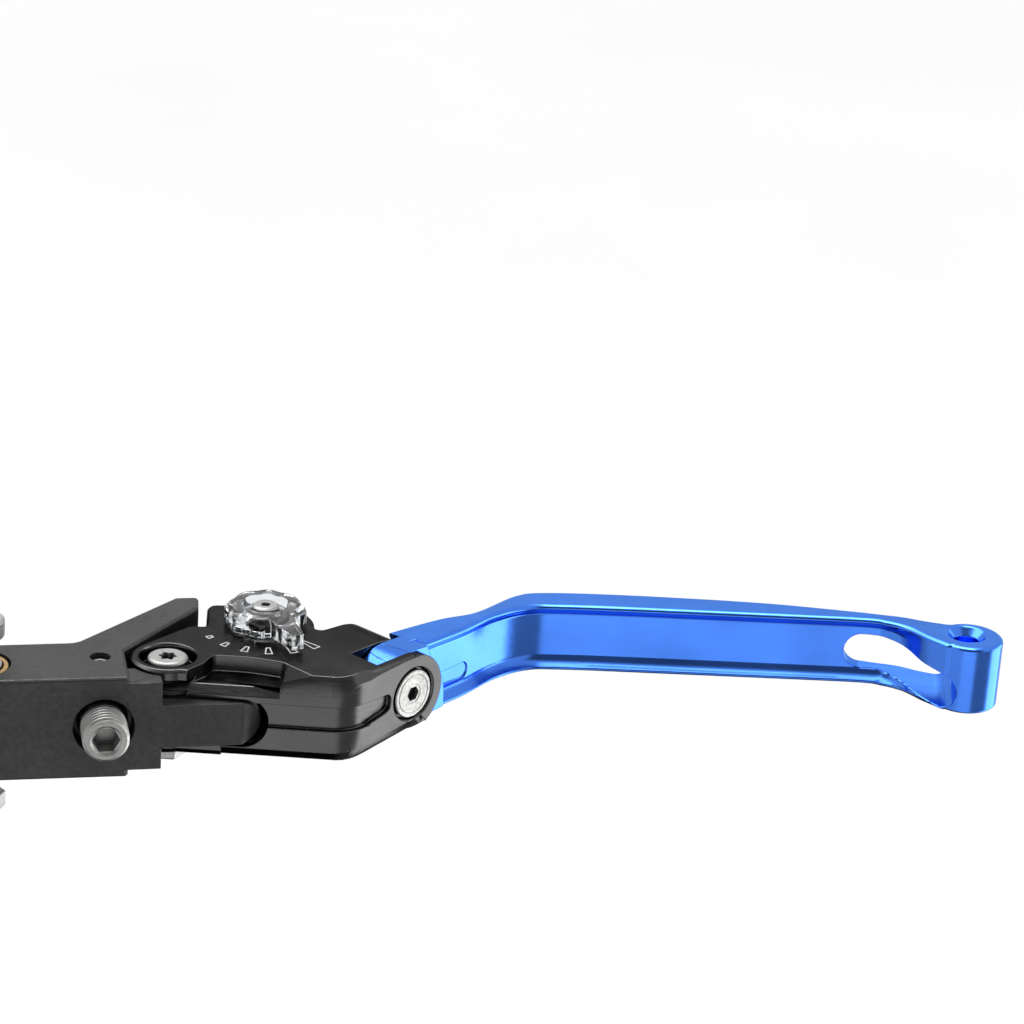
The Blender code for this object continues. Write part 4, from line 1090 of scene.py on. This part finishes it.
class Sky:
    """World whose mirror reflections see soft patches of light and shade, and whose daylight is even."""

    def __init__(self, name):
        self.world = bpy.data.worlds.new(name)
        self.world.use_nodes = True
        self.tree = self.world.node_tree
        seen = self.node("ShaderNodeNewGeometry").outputs["Incoming"]
        split = self.node("ShaderNodeSeparateXYZ")
        self.tree.links.new(seen, split.inputs[0])
        self.x, self.y, self.z = [self.math("MULTIPLY", split.outputs[i], -1.0) for i in range(3)]

    def node(self, kind, **settings):
        made = self.tree.nodes.new(kind)
        for name, value in settings.items():
            setattr(made, name, value)
        return made

    def math(self, operation, one, two=0.0):
        made = self.node("ShaderNodeMath", operation=operation)
        for socket, value in zip(made.inputs, (one, two)):
            if isinstance(value, (int, float)):
                socket.default_value = value
            else:
                self.tree.links.new(value, socket)
        return made.outputs["Value"]

    def rise(self, value, low, high):
        """0 below low, 1 above high, smooth between."""
        made = self.node("ShaderNodeMapRange", interpolation_type="SMOOTHSTEP")
        self.tree.links.new(value, made.inputs["Value"])
        made.inputs["From Min"].default_value = low
        made.inputs["From Max"].default_value = high
        return made.outputs["Result"]

    def inside(self, value, low, high, soft):
        up = self.rise(value, low - soft, low + soft)
        down = self.rise(value, high - soft, high + soft)
        return self.math("SUBTRACT", up, down)

    def turn(self, one, two):
        """Angle in degrees of a direction, 0 along two and positive towards one."""
        return self.math("MULTIPLY", self.math("ARCTAN2", one, two), math.degrees(1.0))

    def paint(self, under, light, *masks):
        """Light where every mask is 1, and what was under it elsewhere."""
        share = masks[0]
        for mask in masks[1:]:
            share = self.math("MULTIPLY", share, mask)
        blend = self.node("ShaderNodeMix", data_type="FLOAT")
        self.tree.links.new(share, blend.inputs["Factor"])
        for socket, value in ((blend.inputs["A"], under), (blend.inputs["B"], light)):
            if isinstance(value, (int, float)):
                socket.default_value = value
            else:
                self.tree.links.new(value, socket)
        return blend.outputs["Result"]


def add_world():
    """Even white daylight; reflections see a bright right side and top strip, and dark patches in front."""
    # In degrees: around from the front to the right, height above level, over and under from straight up
    # and straight down towards the back.
    sky = Sky("studio")
    around = sky.turn(sky.x, sky.math("MULTIPLY", sky.y, -1.0))
    height = sky.turn(sky.z, sky.math("SQRT", sky.math("SUBTRACT", 1.0, sky.math("MULTIPLY", sky.z, sky.z))))
    over = sky.turn(sky.y, sky.z)
    under = sky.turn(sky.y, sky.math("MULTIPLY", sky.z, -1.0))
    low_band = sky.inside(height, -60, 10, 5)
    light = sky.paint(0.8, 1.1, sky.inside(around, -25, 18, 4), low_band)
    light = sky.paint(light, 0.35, sky.inside(around, 22, 74, 4), sky.inside(height, -52, 10, 4))
    light = sky.paint(light, 3.2, sky.inside(around, 82, 130, 4), sky.inside(height, -60, 20, 5))
    light = sky.paint(light, 0.15, sky.inside(over, -84, -20, 4), sky.inside(sky.x, -0.6, 0.6, 0.1))
    light = sky.paint(light, 3.2, sky.inside(over, -12, 40, 4), sky.inside(sky.x, -0.8, 0.2, 0.06))
    light = sky.paint(light, 9.0, sky.inside(over, 2, 14, 3), sky.inside(sky.x, -0.5, 0.16, 0.06))
    dark = sky.paint(0.02, 0.3, sky.rise(sky.x, 0.0, 0.15))
    light = sky.paint(light, dark, sky.inside(under, -15, 60, 3), sky.inside(sky.x, -0.9, 0.5, 0.08))
    path = sky.node("ShaderNodeLightPath").outputs["Is Glossy Ray"]
    background = sky.tree.nodes["Background"]
    background.inputs["Color"].default_value = (1.0, 1.0, 1.0, 1.0)
    sky.tree.links.new(sky.paint(DAYLIGHT, light, path), background.inputs["Strength"])
    bpy.context.scene.world = sky.world


def add_camera():
    """Camera of the product picture: slightly above the lever, with a small roll."""
    right = Vector((1, 0, 0))
    up = Vector((0, math.sin(CAMERA_RISE), math.cos(CAMERA_RISE)))
    back = Vector((0, -math.cos(CAMERA_RISE), math.sin(CAMERA_RISE)))
    x = right * math.cos(CAMERA_ROLL) + up * math.sin(CAMERA_ROLL)
    y = up * math.cos(CAMERA_ROLL) - right * math.sin(CAMERA_ROLL)
    data = bpy.data.cameras.new("camera")
    data.sensor_width = 36.0
    data.lens = CAMERA_LENS
    data.clip_start = 0.01
    camera = bpy.data.objects.new("camera", data)
    bpy.context.scene.collection.objects.link(camera)
    turn = Matrix((x, y, back)).transposed().to_4x4()
    camera.matrix_world = Matrix.Translation(CAMERA_PLACE) @ turn
    bpy.context.scene.camera = camera


def set_stage():
    centre = (CAD_BOX[0] + CAD_BOX[1]) / 2
    add_floor()
    add_world()
    add_panel("top_light", centre + Vector((0.0, 0.05, 0.6)), centre, (0.7, 0.35), 1.0)
    add_camera()
    bpy.context.scene.view_settings.view_transform = "Standard"


set_stage()
